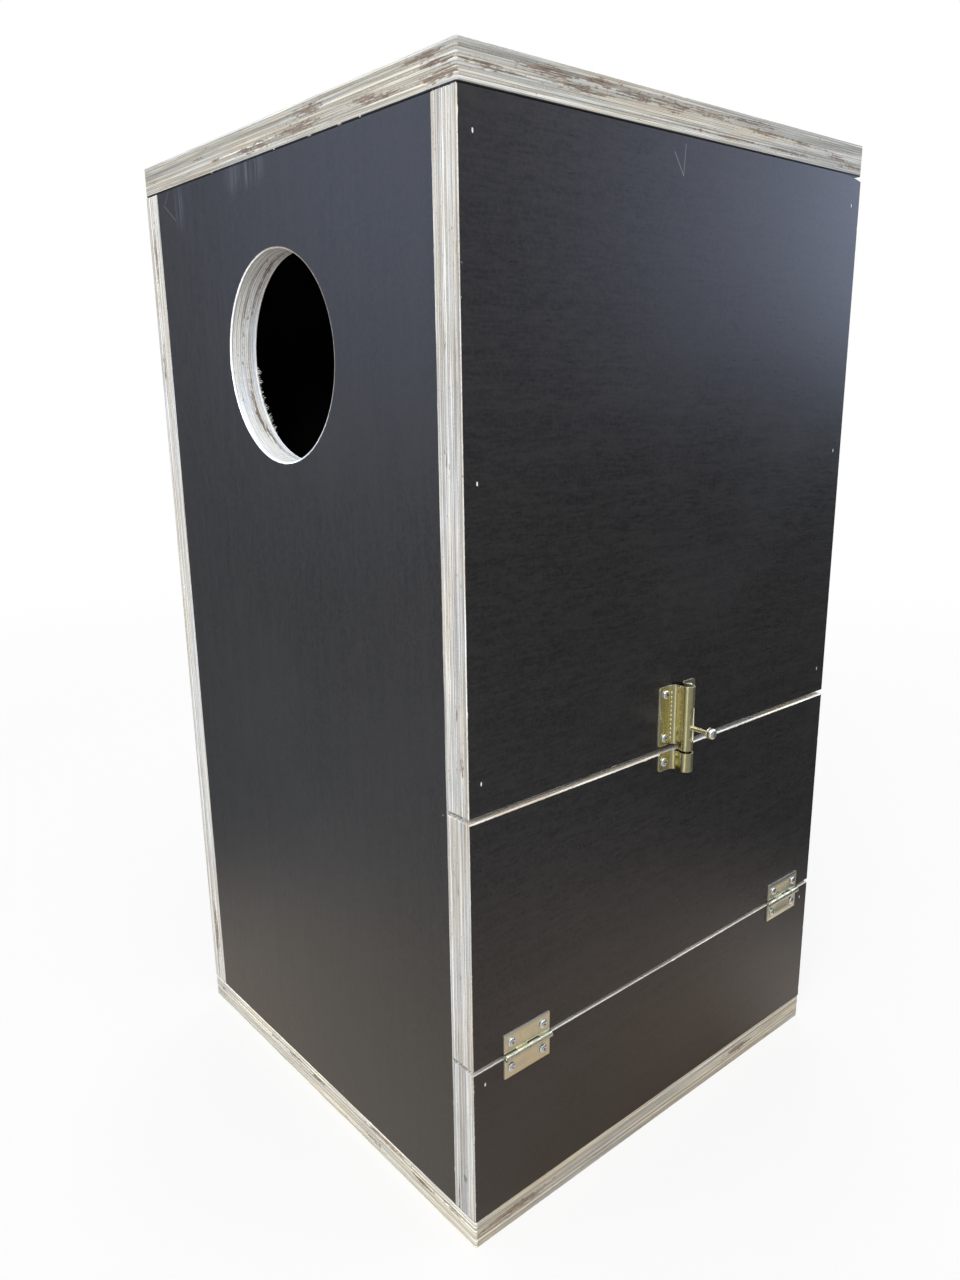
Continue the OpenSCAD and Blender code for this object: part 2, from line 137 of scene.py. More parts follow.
# Torn places that show in the bare ply edges, by board and side of its outline, in mm: the middle along
# the side, the height above the board's low face, half the length, half the height and the depth
TORN = {
    ("roof_panel", HIGH_A): (
        (-157, 9.6, 14, 1.0, 0.5), (-151, 8.8, 3, 1.2, 1.2), (-138, 8.4, 12, 0.8, 0.3),
        (-112, 13.2, 17, 2.6, 0.4), (-88, 9.6, 18, 2.0, 0.4), (-76, 14.2, 12, 1.8, 0.4),
        (-52, 12.6, 14, 2.2, 0.4), (-24, 12.6, 18, 2.2, 0.5), (10, 13.4, 15, 1.7, 0.4),
        (50, 14.4, 24, 1.1, 0.5), (60, 11.0, 18, 1.4, 0.5), (98, 10.2, 12, 1.1, 0.4),
        (28, 4.2, 26, 0.8, 0.3), (84, 4.2, 20, 0.8, 0.3), (138, 7.2, 9, 1.8, 0.3),
        (152, 4.4, 18, 1.2, 0.4),
    ),
    ("roof_panel", LOW_B): (
        (-61, 6.2, 5, 0.8, 0.3), (-86, 10.5, 9, 0.7, 0.2), (-15, 5.2, 20, 2.2, 0.5),
        (36, 6.2, 21, 2.0, 0.5), (46, 12.8, 15, 2.6, 0.6), (97, 7.2, 12, 2.0, 0.5),
        (108, 5.2, 16, 1.2, 0.4), (144, 14.6, 14, 1.6, 0.5), (153, 10.6, 13, 1.6, 0.6),
        (157, 5.0, 15, 2.4, 0.6),
    ),
    ("right_upper_panel", LOW_A): (
        (457, 5.4, 4, 0.7, 0.4), (329, 9.6, 4, 0.9, 0.4), (302, 13, 7, 1.2, 0.4),
    ),
    ("right_lower_panel", LOW_A): (
        (43, 9, 3, 1.3, 0.8), (28, 3.4, 12, 0.8, 0.3),
    ),
    ("floor_panel", HIGH_A): (
        (-138, 9, 24, 2.8, 0.3), (88, 9.4, 14, 2.4, 0.2), (128, 2, 8, 0.8, 0.4),
    ),
    ("floor_panel", LOW_B): (
        (-66, 12, 11, 0.8, 0.2), (-42, 12.3, 12, 1.2, 0.4), (-6, 11.8, 9, 1.3, 0.6),
        (79, 14.8, 26, 1.2, 0.6), (64, 6.2, 9, 1.2, 0.5), (115, 10.3, 13, 1.3, 0.6),
        (145, 12.3, 11, 1.3, 0.4), (-160, 10.9, 10, 1.1, 0.4), (-161, 6, 9, 1.0, 0.4),
    ),
    ("left_side_panel", LOW_A): (
        (62, 9, 26, 3.0, 0.2), (508, 6, 14, 1.4, 0.2), (578, 8, 16, 2.4, 0.2),
    ),
    ("front_panel", HOLE): (
        (48, 8.0, 34, 0.5, 0.1), (30, 13.0, 30, 1.6, 0.1), (130, 11.5, 24, 1.3, 0.4),
        (150, 13.6, 12, 0.9, 0.3), (205, 6.2, 22, 1.0, 0.3), (68, 11.0, 1.4, 0.9, 1.0),
    ),
}

# Greys of the glowing studio wall that the box reflects, painted reflections, as (azimuth in degrees, level)
WALL_GREYS = [(-150, 0.22), (-127, 0.48), (-60, 0.36), (20, 0.28), (38, 0.12), (58, 0.10), (100, 0.24)]
# Soft bluish windows in it: azimuths where each starts, is full, ends and is gone, heights and colour
WALL_WINDOWS = [
    (20, 56, 75, 110, 0.36, 0.72, (1.15, 1.3, 1.85)),
    (56, 76, 92, 112, 0.05, 0.5, (0.4, 0.55, 0.66)),
    (52, 60, 92, 112, 0.36, 0.62, (0.8, 0.95, 1.25)),
    (-154, -124, -105, -80, 0.2, 0.8, (0.75, 0.95, 1.5)),
    (-62, -55, -45, -38, 0.62, 0.3, (0.7, 0.7, 0.62)),
]

# Section of that wall, as (radius, height), and the point that the lamps are turned to
WALL_PROFILE = [
    (0.10, 0.001), (0.30, 0.001), (0.50, 0.004), (0.70, 0.03), (0.82, 0.09), (0.90, 0.2), (0.90, 0.5),
    (0.90, 0.8), (0.90, 1.05),
]
LAMPS_AIM = (0.0, 0.0, 0.35)
WHITE = (1.0, 1.0, 1.0, 1.0)

# The lamps: name, place, size, the stage's property that gives the power, colour, and whether the lamp
# itself shows in reflections
SOFTBOXES = (
    ("Right softbox", (1.9, 1.6, 1.25), (1.5, 1.2), "side_light", (0.92, 0.96, 1.0), False),
    ("Left softbox", (-1.3, -2.1, 1.25), (1.5, 1.2), "side_light", (0.92, 0.96, 1.0), False),
    ("Back softbox", (-1.6, 1.7, 1.25), (1.5, 1.2), "back_light", (0.96, 0.98, 1.0), False),
    ("Key softbox", (1.2, -1.7, 1.8), (1.2, 1.0), "key_light", (1.0, 0.99, 0.97), True),
    ("Overhead softbox", (0.3, -0.3, 2.3), (1.8, 1.8), "top_light", (1.0, 1.0, 1.0), True),
)

# The boards: the body each rides on, the axis that its film's grain follows and the tone of its edges
BOARDS = {
    "roof_panel": ("box", Y, "roof"),
    "floor_panel": ("box", Y, "floor"),
    "front_panel": ("box", Z, "walls"),
    "back_panel": ("box", Z, "walls"),
    "left_side_panel": ("box", Y, "walls"),
    "right_upper_panel": ("box", Y, "walls"),
    "right_lower_panel": ("box", Y, "walls"),
    "inspection_door": ("door", Y, "walls"),
}

# Ply edges: the tints of the pale and the dark veneers, and the glue lines' least and most strength
PLY_EDGES = {
    "roof": ((0.76, 0.775, 0.775), (0.85, 0.86, 0.83), (0.2, 0.85)),
    "walls": ((0.87, 0.885, 0.91), (1.0, 1.01, 1.04), (0.2, 0.85)),
    "floor": ((0.76, 0.73, 0.655), (0.84, 0.785, 0.69), (0.4, 0.9)),
}

# Thickness of every board, half the width of a glue line's groove as a share of a veneer, and the
# attributes that its edges carry: the number of the veneer, whether it was sawn across its grain, how torn
# it is, and how much painted light and painted bluish tint of cool light it has
BOARD_THICK = 18.0 * MM
GROOVE_SHOULDER = 0.17
EDGE_ATTRIBUTES = ("layer", "across", "tear", "pallor", "cool")

# Radius of the corners of an upright board and of the roof and floor
WALL_CORNER = 0.35 * MM
LID_CORNER = 1.5 * MM

# Colours that the finishes mix in
FILM_DUST = (0.026, 0.025, 0.025)
FILM_SPECK = (0.42, 0.42, 0.42)
FILM_SCUFF = (0.12, 0.135, 0.165)
FILM_SCRATCH = (0.17, 0.18, 0.20)
YELLOWED_PLY = (0.58, 0.50, 0.36)
GREYED_PLY = (0.46, 0.41, 0.34)
GLUE_LINE = (0.24, 0.18, 0.13)
PLY_SPECK = (0.26, 0.18, 0.12)
WARM_VENEER = (1.03, 1.0, 0.955)
COOL_VENEER = (0.97, 1.0, 1.05)
OLD_STAIN = (0.20, 0.152, 0.128)
BEECH_DARK = (0.50, 0.33, 0.19)
BEECH_PALE = (0.70, 0.51, 0.32)
BEECH_FLECK = (0.33, 0.20, 0.11)
FIBRE_DARK = (0.78, 0.75, 0.68)
FIBRE_PALE = (0.95, 0.94, 0.90)

# A warm glow on the floor part of that wall, a painted reflection that the lower boards show: its colour
# near the box, farther out, on the left and on the right
WARM_NEAR = (0.40, 0.28, 0.19)
WARM_FAR = (0.62, 0.48, 0.38)
WARM_LEFT = (0.74, 0.65, 0.55)
WARM_RIGHT = (1.0, 0.88, 0.79)

# Sheet thicknesses of the hinges and of the bolt, the size of the holes for their screws, how far a tab of
# a hinge rolls round the pin, in degrees, and the gap between the tabs of the two leaves
HINGE_SHEET = 1.0 * MM
BOLT_SHEET = 0.7 * MM
SCREW_HOLE = 3.2 * MM
TAB_ROLL = 318
TAB_GAP = 0.3 * MM

# The bolt: half the width of its neck, the bends beside it and the steps in each, the drop of the barrel
# below the plate, the width of the slot for the knob and the corners of the plate
NECK_HALF = 3.4 * MM
NECK_BEND = 3.4 * MM
BEND_STEPS = 10
BARREL_DROP = 3.0 * MM
SLOT_WIDTH = 3.8 * MM
PLATE_CORNER = 2.0 * MM

# The row of pressed beads down the bolt's plate, in mm: how many, their spacing, how far the first is below
# the plate's top and how far the row is from the barrel's axis
BEADS, BEAD_PITCH, BEAD_START, BEAD_ASIDE = 11, 2.9, 5.0, 5.8

# Frayed fibres: length and thickness in mm, and spread, by the place where they grow
FIBRES = {"box": (2.2, 0.2, 0.55), "door": (2.2, 0.2, 0.55), "hole": (4.4, 0.8, 0.35)}

# Nodes of the brads, and where a slit in the film is wider than its brad
BRADS = ("roof_brads", "floor_brads", "left_side_brads", "right_side_brads")
BRAD_ROOM = 0.3 * MM


def size_mm(name, description, default, least, most):
    return FloatProperty(name=name, description=description, default=default * MM, min=least * MM,
                         max=most * MM, unit="LENGTH")


def tint(name, description, *default):
    return FloatVectorProperty(name=name, description=description, default=default, subtype="COLOR",
                               size=3, min=0.0, max=1.0)


def watts(name, description, default):
    return FloatProperty(name=name, description=description, default=default, min=0.0, unit="POWER")


class NESTBOX_PG_boards(bpy.types.PropertyGroup):
    """Sizes and colours of the film-faced boards"""
    plies: IntProperty(name="Plies", description="Number of veneers in a board", default=13, min=5, max=21)
    step: size_mm("Step", "Spacing of the points along a board's edge", 1.6, 1.0, 10.0)
    arris: size_mm("Arris", "Width of the broken corner between film and edge", 0.3, 0.1, 1.0)
    chip: size_mm("Chip", "Greatest width of a chip in the film at an edge", 1.2, 0.0, 4.0)
    groove: size_mm("Glue groove", "Depth of the groove at each glue line", 0.07, 0.0, 0.6)
    relief: size_mm("Relief", "Unevenness of the sawn veneers", 0.1, 0.0, 0.6)
    joint: size_mm("Joint", "Hairline left open round an upright board", 0.22, 0.0, 0.8)
    film: tint("Film", "Colour of the phenolic film", 0.0128, 0.0112, 0.0105)
    pale: tint("Pale veneer", "Colour of veneer sawn along its grain", 0.80, 0.78, 0.73)
    dark: tint("End grain", "Colour of veneer sawn across its grain", 0.50, 0.475, 0.43)
    torn: tint("Torn wood", "Colour of torn and stained wood", 0.225, 0.162, 0.118)


class NESTBOX_PG_hardware(bpy.types.PropertyGroup):
    """Sizes and colours of the hinges, the bolt and the screws"""
    edge: size_mm("Edge", "Width of the bevel on the sheet parts' edges", 0.14, 0.05, 0.4)
    head: size_mm("Screw head", "Diameter of a screw's head", 5.6, 4.0, 6.2)
    head_height: size_mm("Head height", "Height of a screw's head", 1.7, 1.0, 2.4)
    shank: size_mm("Shank", "Diameter of a screw's shank", 2.8, 2.0, 3.2)
    recess: size_mm("Recess", "Span of the cross recess", 3.4, 1.0, 5.0)
    hinge: tint("Hinge", "Colour of the plated hinge sheet", 0.75, 0.735, 0.56)
    brass: tint("Bolt", "Colour of the yellow plated bolt", 0.66, 0.595, 0.33)
    zinc: tint("Screws", "Colour of the bright screws", 0.86, 0.90, 0.92)


class NESTBOX_PG_stage(bpy.types.PropertyGroup):
    """Floor, light and camera"""
    floor: tint("Floor", "Colour of the floor", 0.86, 0.85, 0.84)
    floor_white: FloatProperty(name="Floor white", description="How far the floor shows as plain white",
                               default=0.8, min=0.0, max=1.0, subtype="FACTOR")
    sky: FloatProperty(name="Room light", description="Strength of the even light from all round",
                       default=0.44, min=0.0, max=2.0)
    side_light: watts("Side softboxes", "Power of each side softbox", 8.0)
    back_light: watts("Back softbox", "Power of the softbox behind the box", 16.0)
    key_light: watts("Key", "Power of the softbox beside the camera", 29.0)
    top_light: watts("Overhead", "Power of the overhead softbox", 20.0)


class Graph:
    """Short ways to add nodes to a shader or geometry tree"""

    def __init__(self, tree):
        self.tree = tree

    def set(self, node, inputs):
        """Gives inputs their values; a value may be a number, a socket or a list of sockets"""
        for key, value in inputs.items():
            for item in value if isinstance(value, list) else [value]:
                if isinstance(item, bpy.types.NodeSocket):
                    self.tree.links.new(item, node.inputs[key])
                else:
                    node.inputs[key].default_value = item

    def add(self, kind, inputs=None, **settings):
        node = self.tree.nodes.new(kind)
        for key, value in settings.items():
            setattr(node, key, value)
        self.set(node, inputs or {})
        return node

    def math(self, operation, *values, clamp=False):
        node = self.add("ShaderNodeMath", dict(enumerate(values)), operation=operation, use_clamp=clamp)
        return node.outputs[0]

    def plus(self, *values):
        return reduce(lambda a, b: self.math("ADD", a, b), values)

    def times(self, *values):
        return reduce(lambda a, b: self.math("MULTIPLY", a, b), values)

    def minus(self, first, second):
        return self.math("SUBTRACT", first, second)

    def over(self, first, second, clamp=False):
        return self.math("DIVIDE", first, second, clamp=clamp)

    def vector(self, operation, *values):
        return self.add("ShaderNodeVectorMath", dict(enumerate(values)), operation=operation).outputs[0]

    def measure(self, operation, *values):
        """The number that vector maths gives, such as a length or a distance"""
        node = self.add("ShaderNodeVectorMath", dict(enumerate(values)), operation=operation)
        return node.outputs["Value"]

    def scaled(self, vector, factor):
        return self.add("ShaderNodeVectorMath", {0: vector, "Scale": factor}, operation="SCALE").outputs[0]

    def join(self, x, y, z):
        return self.add("ShaderNodeCombineXYZ", {0: x, 1: y, 2: z}).outputs[0]

    def colour(self, red, green, blue):
        return self.add("ShaderNodeCombineColor", {0: red, 1: green, 2: blue}).outputs[0]

    def place(self):
        """Object coordinates"""
        return self.add("ShaderNodeTexCoord").outputs["Object"]

    def attribute(self, name):
        return self.add("ShaderNodeAttribute", attribute_name=name).outputs["Fac"]

    def span(self, value, low, high, to_low=0.0, to_high=1.0):
        """value taken from low..high to to_low..to_high, smoothly and clamped"""
        ends = {"Value": value, "From Min": low, "From Max": high, "To Min": to_low, "To Max": to_high}
        return self.add("ShaderNodeMapRange", ends, interpolation_type="SMOOTHSTEP").outputs[0]

    def blend(self, factor, first, second, how="MIX"):
        """Two colours mixed"""
        inputs = {0: factor, 6: first, 7: second}
        return self.add("ShaderNodeMix", inputs, data_type="RGBA", blend_type=how).outputs[2]

    def grain(self, place, scale, detail=3.0, rough=0.55):
        inputs = {"Vector": place, "Scale": scale, "Detail": detail, "Roughness": rough}
        return self.add("ShaderNodeTexNoise", inputs).outputs[0]

    def drawn(self, place, axis, along, across, detail, rough):
        """Noise drawn out along one axis, in cells per metre along it and across it"""
        cells = [across] * 3
        cells[axis] = along
        return self.grain(self.vector("MULTIPLY", place, tuple(cells)), 1.0, detail, rough)

    def bump(self, shader, height, strength, distance):
        inputs = {"Height": height, "Strength": strength, "Distance": distance}
        self.set(shader, {"Normal": self.add("ShaderNodeBump", inputs).outputs[0]})

    def seen_directly(self):
        """1 for what the camera, reflections and transmission see, 0 for the light that surfaces get"""
        rays = self.add("ShaderNodeLightPath").outputs
        seen = self.math("MAXIMUM", rays["Is Camera Ray"], rays["Is Glossy Ray"])
        return self.math("MAXIMUM", seen, rays["Is Transmission Ray"])


def rgba(colour, share=1.0):
    return tuple(share * c for c in colour) + (1.0,)


def new_material(name):
    """A node material, its graph and its shader node"""
    material = bpy.data.materials.new(name)
    material.use_nodes = True
    graph = Graph(material.node_tree)
    return material, graph, material.node_tree.nodes["Principled BSDF"]


def scratch(graph, place, start, end, half):
    """1 along a straight scratch, 0 away from it"""
    start, end = Vector(start) * MM, Vector(end) * MM
    line = end - start
    away = graph.vector("SUBTRACT", place, tuple(start))
    share = graph.measure("DOT_PRODUCT", away, tuple(line / line.length_squared))
    nearest = graph.scaled(tuple(line), graph.math("MULTIPLY", share, 1.0, clamp=True))
    gap = graph.measure("DISTANCE", away, nearest)
    return graph.span(gap, 0.4 * half * MM, 1.6 * half * MM, 1.0, 0.0)


def scuff(graph, place, streaks, middle, half):
    """1 in the middle of a soft streaky scuff, 0 away from it"""
    away = graph.vector("SUBTRACT", place, tuple(Vector(middle) * MM))
    reach = graph.measure("LENGTH", graph.vector("DIVIDE", away, tuple(Vector(half) * MM)))
    return graph.times(graph.span(reach, 0.2, 1.0, 1.0, 0.0), graph.span(streaks, 0.42, 0.66))


def film_material(name, along):
    """Dark phenolic film: satin, with the veneer's grain showing through along one axis, dust and scuffs"""
    material, graph, shader = new_material(name)
    film = bpy.context.scene.nestbox_boards.film
    place = graph.place()
    streaks = graph.drawn(place, along, 90.0, 800.0, 4.0, 0.6)
    drawn = graph.drawn(place, along, 9.0, 620.0, 3.0, 0.6)
    broad = graph.drawn(place, along, 5.0, 160.0, 3.0, 0.5)
    cloud = graph.grain(place, 7.0, 4.0, 0.6)
    fine = graph.grain(place, 1900.0, 2.0, 0.5)
    mesh = graph.grain(place, 480.0, 2.0, 0.6)
    tone = graph.plus(graph.times(streaks, 0.7), graph.times(broad, 0.3))
    base = graph.blend(graph.span(tone, 0.38, 0.64), rgba(film, 0.65), rgba(film, 1.5))
    base = graph.blend(graph.span(mesh, 0.40, 0.64, 0.0, 0.5), base, rgba(film, 2.1))
    base = graph.blend(graph.span(cloud, 0.45, 0.75, 0.0, 0.5), base, rgba(FILM_DUST))
    cells = graph.add("ShaderNodeTexVoronoi", {"Vector": place, "Scale": 75.0, "Randomness": 1.0}).outputs
    chance = graph.add("ShaderNodeSeparateColor", {0: cells["Color"]}).outputs[0]
    near = graph.math("LESS_THAN", cells["Distance"], 0.028)
    speck = graph.times(graph.span(chance, 0.955, 0.96), near)
    base = graph.blend(speck, base, rgba(FILM_SPECK))
    for middle, half in SCUFFS:
        share = graph.times(scuff(graph, place, drawn, middle, half), 0.5)
        base = graph.blend(share, base, rgba(FILM_SCUFF))
    for start, end, half in SCRATCHES:
        share = graph.times(scratch(graph, place, start, end, half), 0.75)
        base = graph.blend(share, base, rgba(FILM_SCRATCH))
    rough = graph.plus(graph.span(streaks, 0.3, 0.7, 0.27, 0.35), graph.span(cloud, 0.3, 0.75, -0.01, 0.05))
    graph.set(shader, {"Base Color": base, "Roughness": rough, "Specular IOR Level": 0.5})
    graph.bump(shader, graph.plus(graph.times(tone, 0.45), graph.times(fine, 0.55)), 0.17, 0.0004)
    return material


def edge_material(name, pale_tint, dark_tint, glue):
    """Bare ply edge: veneers sawn along and across their grain, glue lines of a least and a most
    strength, torn brown places, and painted light with a painted bluish tint where light falls on it"""
    material, graph, shader = new_material(name)
    boards = bpy.context.scene.nestbox_boards
    uv = graph.add("ShaderNodeUVMap", uv_map="edge").outputs[0]
    run, rise, _ = graph.add("ShaderNodeSeparateXYZ", {0: uv}).outputs
    layer, across, tear, pallor, cool = (graph.attribute(name) for name in EDGE_ATTRIBUTES)
    shift = graph.times(layer, 3.7)

    def sawn(along, rising, offset=0.0, detail=3.0, rough=0.55):
        """Noise stretched along the edge, in cells per metre along it and across it"""
        spot = graph.join(graph.times(run, along), graph.times(rise, rising), offset)
        return graph.grain(spot, 1.0, detail, rough)

    fibres = sawn(30.0, 1500.0, shift, 5.0, 0.62)
    strands = sawn(6.0, 2300.0, shift, 4.0, 0.6)
    coarse = sawn(8.0, 850.0, 5.1, 4.0, 0.62)
    bands = sawn(2.5, 400.0, 1.7, 2.0, 0.5)
    wander = sawn(14.0, 60.0, shift, 2.0, 0.5)
    pits = sawn(900.0, 1300.0, shift, 3.0, 0.7)
    patch = sawn(26.0, 180.0)
    drift = sawn(5.0, 90.0, 3.3)
    tone = graph.add("ShaderNodeTexWhiteNoise", {"W": layer}, noise_dimensions="1D").outputs["Value"]

    pale = tuple(c * t for c, t in zip(boards.pale, pale_tint))
    dark = tuple(c * t for c, t in zip(boards.dark, dark_tint))
    length = graph.blend(graph.span(fibres, 0.34, 0.66), rgba(pale, 0.76), rgba(pale, 1.16))
    ends = graph.blend(graph.span(pits, 0.35, 0.65), rgba(dark, 0.80), rgba(dark, 1.22))
    wood = graph.blend(graph.times(across, graph.span(wander, 0.30, 0.66, 0.25, 1.0)), length, ends)
    wood = graph.blend(graph.span(strands, 0.52, 0.66, 0.0, 0.75), wood, rgba(dark, 0.55))
    wood = graph.blend(graph.span(coarse, 0.54, 0.66, 0.0, 0.7), wood, rgba(dark, 0.58))
    wood = graph.blend(graph.span(coarse, 0.45, 0.34, 0.0, 0.7), wood, rgba(pale, 1.24))
    light = graph.plus(graph.times(tone, 0.24), graph.times(wander, 0.28),
                       graph.span(bands, 0.36, 0.64, 0.56, 0.92))
    wood = graph.blend(1.0, wood, graph.colour(light, light, light), "MULTIPLY")
    wood = graph.blend(graph.span(drift, 0.50, 0.72, 0.0, 0.3), wood, rgba(YELLOWED_PLY))
    wood = graph.blend(graph.span(patch, 0.56, 0.74, 0.0, 0.4), wood, rgba(GREYED_PLY))

    turns = graph.over(rise, BOARD_THICK / boards.plies)
    nearest = graph.math("ABSOLUTE", graph.minus(turns, graph.math("ROUND", turns)))
    ragged = graph.plus(nearest, graph.times(graph.minus(fibres, 0.5), 0.26))
    line = graph.times(graph.span(ragged, 0.03, 0.19, 1.0, 0.0), graph.span(wander, 0.36, 0.64, *glue))
    wood = graph.blend(line, wood, rgba(GLUE_LINE))
    speck = graph.span(sawn(380.0, 700.0, shift, 2.0, 0.5), 0.68, 0.74, 0.0, 0.7)
    wood = graph.blend(speck, wood, rgba(PLY_SPECK))
    # Painted light: the edge is made lighter, and bluer, by each face's painted light and cool tint
    green = graph.times(pallor, graph.plus(graph.times(cool, 0.4), 1.0))
    blue = graph.times(pallor, graph.plus(cool, 1.0))
    wood = graph.blend(1.0, wood, graph.colour(pallor, green, blue), "MULTIPLY")
    hue = graph.span(sawn(11.0, 150.0, 8.7), 0.40, 0.62)
    wood = graph.blend(1.0, wood, graph.blend(hue, rgba(WARM_VENEER), rgba(COOL_VENEER)), "MULTIPLY")

    shreds = sawn(170.0, 900.0, shift, 5.0, 0.72)
    worms = sawn(55.0, 1700.0, shift, 3.0, 0.6)
    loose = graph.plus(graph.minus(shreds, 0.5), graph.minus(worms, 0.5))
    broken = graph.plus(tear, graph.times(loose, 3.0))
    stain = graph.blend(graph.span(shreds, 0.40, 0.60), rgba(boards.torn, 0.3), rgba(boards.torn, 1.4))
    stain = graph.blend(graph.span(patch, 0.45, 0.6), stain, rgba(OLD_STAIN))
    torn = graph.times(graph.span(broken, 0.5, 0.9, 0.0, 0.94), graph.span(tear, 0.02, 0.12))
    wood = graph.blend(torn, wood, stain)
    graph.set(shader, {"Base Color": wood, "Roughness": 0.78, "Specular IOR Level": 0.25})
    graph.bump(shader, graph.plus(graph.times(fibres, 0.5), graph.times(pits, across)), 0.5, 0.0002)
    return material


def plated_material(name, colour, roughness, stain, along, metallic=1.0):
    """Bright plated sheet: faint drawing lines along one axis, mottled plating and a fine orange peel"""
    material, graph, shader = new_material(name)
    place = graph.place()
    lines = graph.drawn(place, along, 60.0, 2600.0, 3.0, 0.6)
    mottle = graph.grain(place, 190.0, 3.0, 0.6)
    peel = graph.grain(place, 1400.0, 2.0, 0.5)
    base = graph.blend(graph.span(mottle, 0.42, 0.74, 0.0, 0.4), rgba(colour), rgba(stain))
    base = graph.blend(graph.span(lines, 0.48, 0.78, 0.0, 0.15), base, rgba(colour, 0.62))
    rough = graph.plus(graph.span(lines, 0.3, 0.7, roughness - 0.04, roughness + 0.06),
                       graph.span(mottle, 0.3, 0.7, -0.02, 0.04))
    graph.set(shader, {"Base Color": base, "Metallic": metallic, "Roughness": rough})
    graph.bump(shader, graph.plus(graph.times(lines, 0.35), graph.times(peel, 0.5)), 0.03, 0.0002)
    return material


def beech_material(name):
    """Planed beech: long figure with short dark flecks"""
    material, graph, shader = new_material(name)
    place = graph.place()
    figure = graph.drawn(place, X, 6.0, 160.0, 4.0, 0.6)
    flecks = graph.drawn(place, X, 160.0, 1400.0, 2.0, 0.5)
    base = graph.blend(graph.span(figure, 0.35, 0.68), rgba(BEECH_DARK), rgba(BEECH_PALE))
    base = graph.blend(graph.span(flecks, 0.58, 0.72, 0.0, 0.6), base, rgba(BEECH_FLECK))
    graph.set(shader, {"Base Color": base, "Roughness": 0.6})
    graph.bump(shader, graph.plus(figure, flecks), 0.3, 0.0003)
    return material


def fibre_material(name):
    """Frayed white wood fibres, with a little variation from place to place"""
    material, graph, shader = new_material(name)
    tone = graph.grain(graph.place(), 400.0, 2.0, 0.5)
    base = graph.blend(graph.span(tone, 0.35, 0.65), rgba(FIBRE_DARK), rgba(FIBRE_PALE))
    graph.set(shader, {"Base Color": base, "Roughness": 0.7})
    return material


def material(name):
    """The named finish, made once"""
    found = bpy.data.materials.get(name)
    if found:
        return found
    hardware = bpy.context.scene.nestbox_hardware
    kind, _, which = name.rpartition(" ")
    if kind == "Film, grain along":
        return film_material(name, "XYZ".index(which))
    if kind == "Ply edge,":
        return edge_material(name, *PLY_EDGES[which])
    makers = {"Planed beech": beech_material, "Loose fibres": fibre_material}
    if name in makers:
        return makers[name](name)
    plated = {
        "Bright hinge plate": (hardware.hinge, 0.3, (0.70, 0.65, 0.46), X),
        "Yellow bolt plate": (hardware.brass, 0.22, (0.56, 0.47, 0.21), Z),
        "Cut bolt edge": ((0.96, 0.92, 0.72), 0.5, (0.88, 0.81, 0.56), Z),
        "Cut hinge edge": ((0.84, 0.82, 0.78), 0.45, (0.70, 0.66, 0.58), X),
        "Turned bolt metal": ((0.98, 0.95, 0.82), 0.16, (0.86, 0.80, 0.60), Z),
        "Bright zinc": (hardware.zinc, 0.11, (0.70, 0.74, 0.78), X),
        "Galvanised brads": ((0.95, 0.95, 0.97), 0.5, (0.80, 0.81, 0.84), Z, 0.3),
    }
    return plated_material(name, *plated[name])


def corners_of(node):
    """Lowest and highest corner of a CAD node"""
    return tuple(Vector(corner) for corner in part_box(node))


def add_object(name, data):
    piece = bpy.data.objects.new(name, data)
    bpy.context.scene.collection.objects.link(piece)
    return piece


def mesh_of(work, name, *finishes):
    """Ends a bmesh as a mesh with the named finishes"""
    mesh = bpy.data.meshes.new(name)
    work.to_mesh(mesh)
    work.free()
    for finish in finishes:
        mesh.materials.append(material(finish))
    return mesh


def refinish(node, finish):
    """Gives a CAD node, which stays as it is, its finish"""
    materials = frame["nodes"][node].data.materials
    materials.clear()
    materials.append(material(finish))


def place_piece(piece, body, nodes):
    """Says what the piece rides on and which nodes it stands for"""
    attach(piece, body)
    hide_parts(*nodes)


def smooth_by_angle(mesh, degrees):
    mesh.shade_smooth()
    mesh.set_sharp_from_angle(angle=math.radians(degrees))


def finish_mesh(piece):
    """Puts the evaluated shape in place of the piece's modifiers"""
    graph = bpy.context.evaluated_depsgraph_get()
    shape = piece.evaluated_get(graph)
    piece.data = bpy.data.meshes.new_from_object(shape, preserve_all_data_layers=True, depsgraph=graph)
    piece.modifiers.clear()


def face_outwards(mesh):
    """Merges doubled points and turns every shell's faces outwards"""
    work = bmesh.new()
    work.from_mesh(mesh)
    bmesh.ops.remove_doubles(work, verts=work.verts, dist=1e-7)
    bmesh.ops.recalc_face_normals(work, faces=work.faces)
    work.to_mesh(mesh)
    work.free()


def solids(node):
    """(lowest corner, highest corner) of each solid of a CAD node, from a merged copy of its mesh"""
    work = bmesh.new()
    work.from_mesh(frame["nodes"][node].data)
    bmesh.ops.remove_doubles(work, verts=work.verts, dist=1e-6)
    seen, found = set(), []
    for start in work.verts:
        if start in seen:
            continue
        seen.add(start)
        stack, points = [start], []
        while stack:
            vert = stack.pop()
            points.append(vert.co.copy())
            for edge in vert.link_edges:
                other = edge.other_vert(vert)
                if other not in seen:
                    seen.add(other)
                    stack.append(other)
        low = Vector(min(p[i] for p in points) for i in range(3))
        high = Vector(max(p[i] for p in points) for i in range(3))
        found.append((low, high))
    work.free()
    return sorted(found, key=lambda pair: tuple(round(c, 5) for c in pair[0]))


def wave(run, row, seed):
    """Smooth noise in -1..1"""
    return noise.noise(Vector((run, row, seed)))


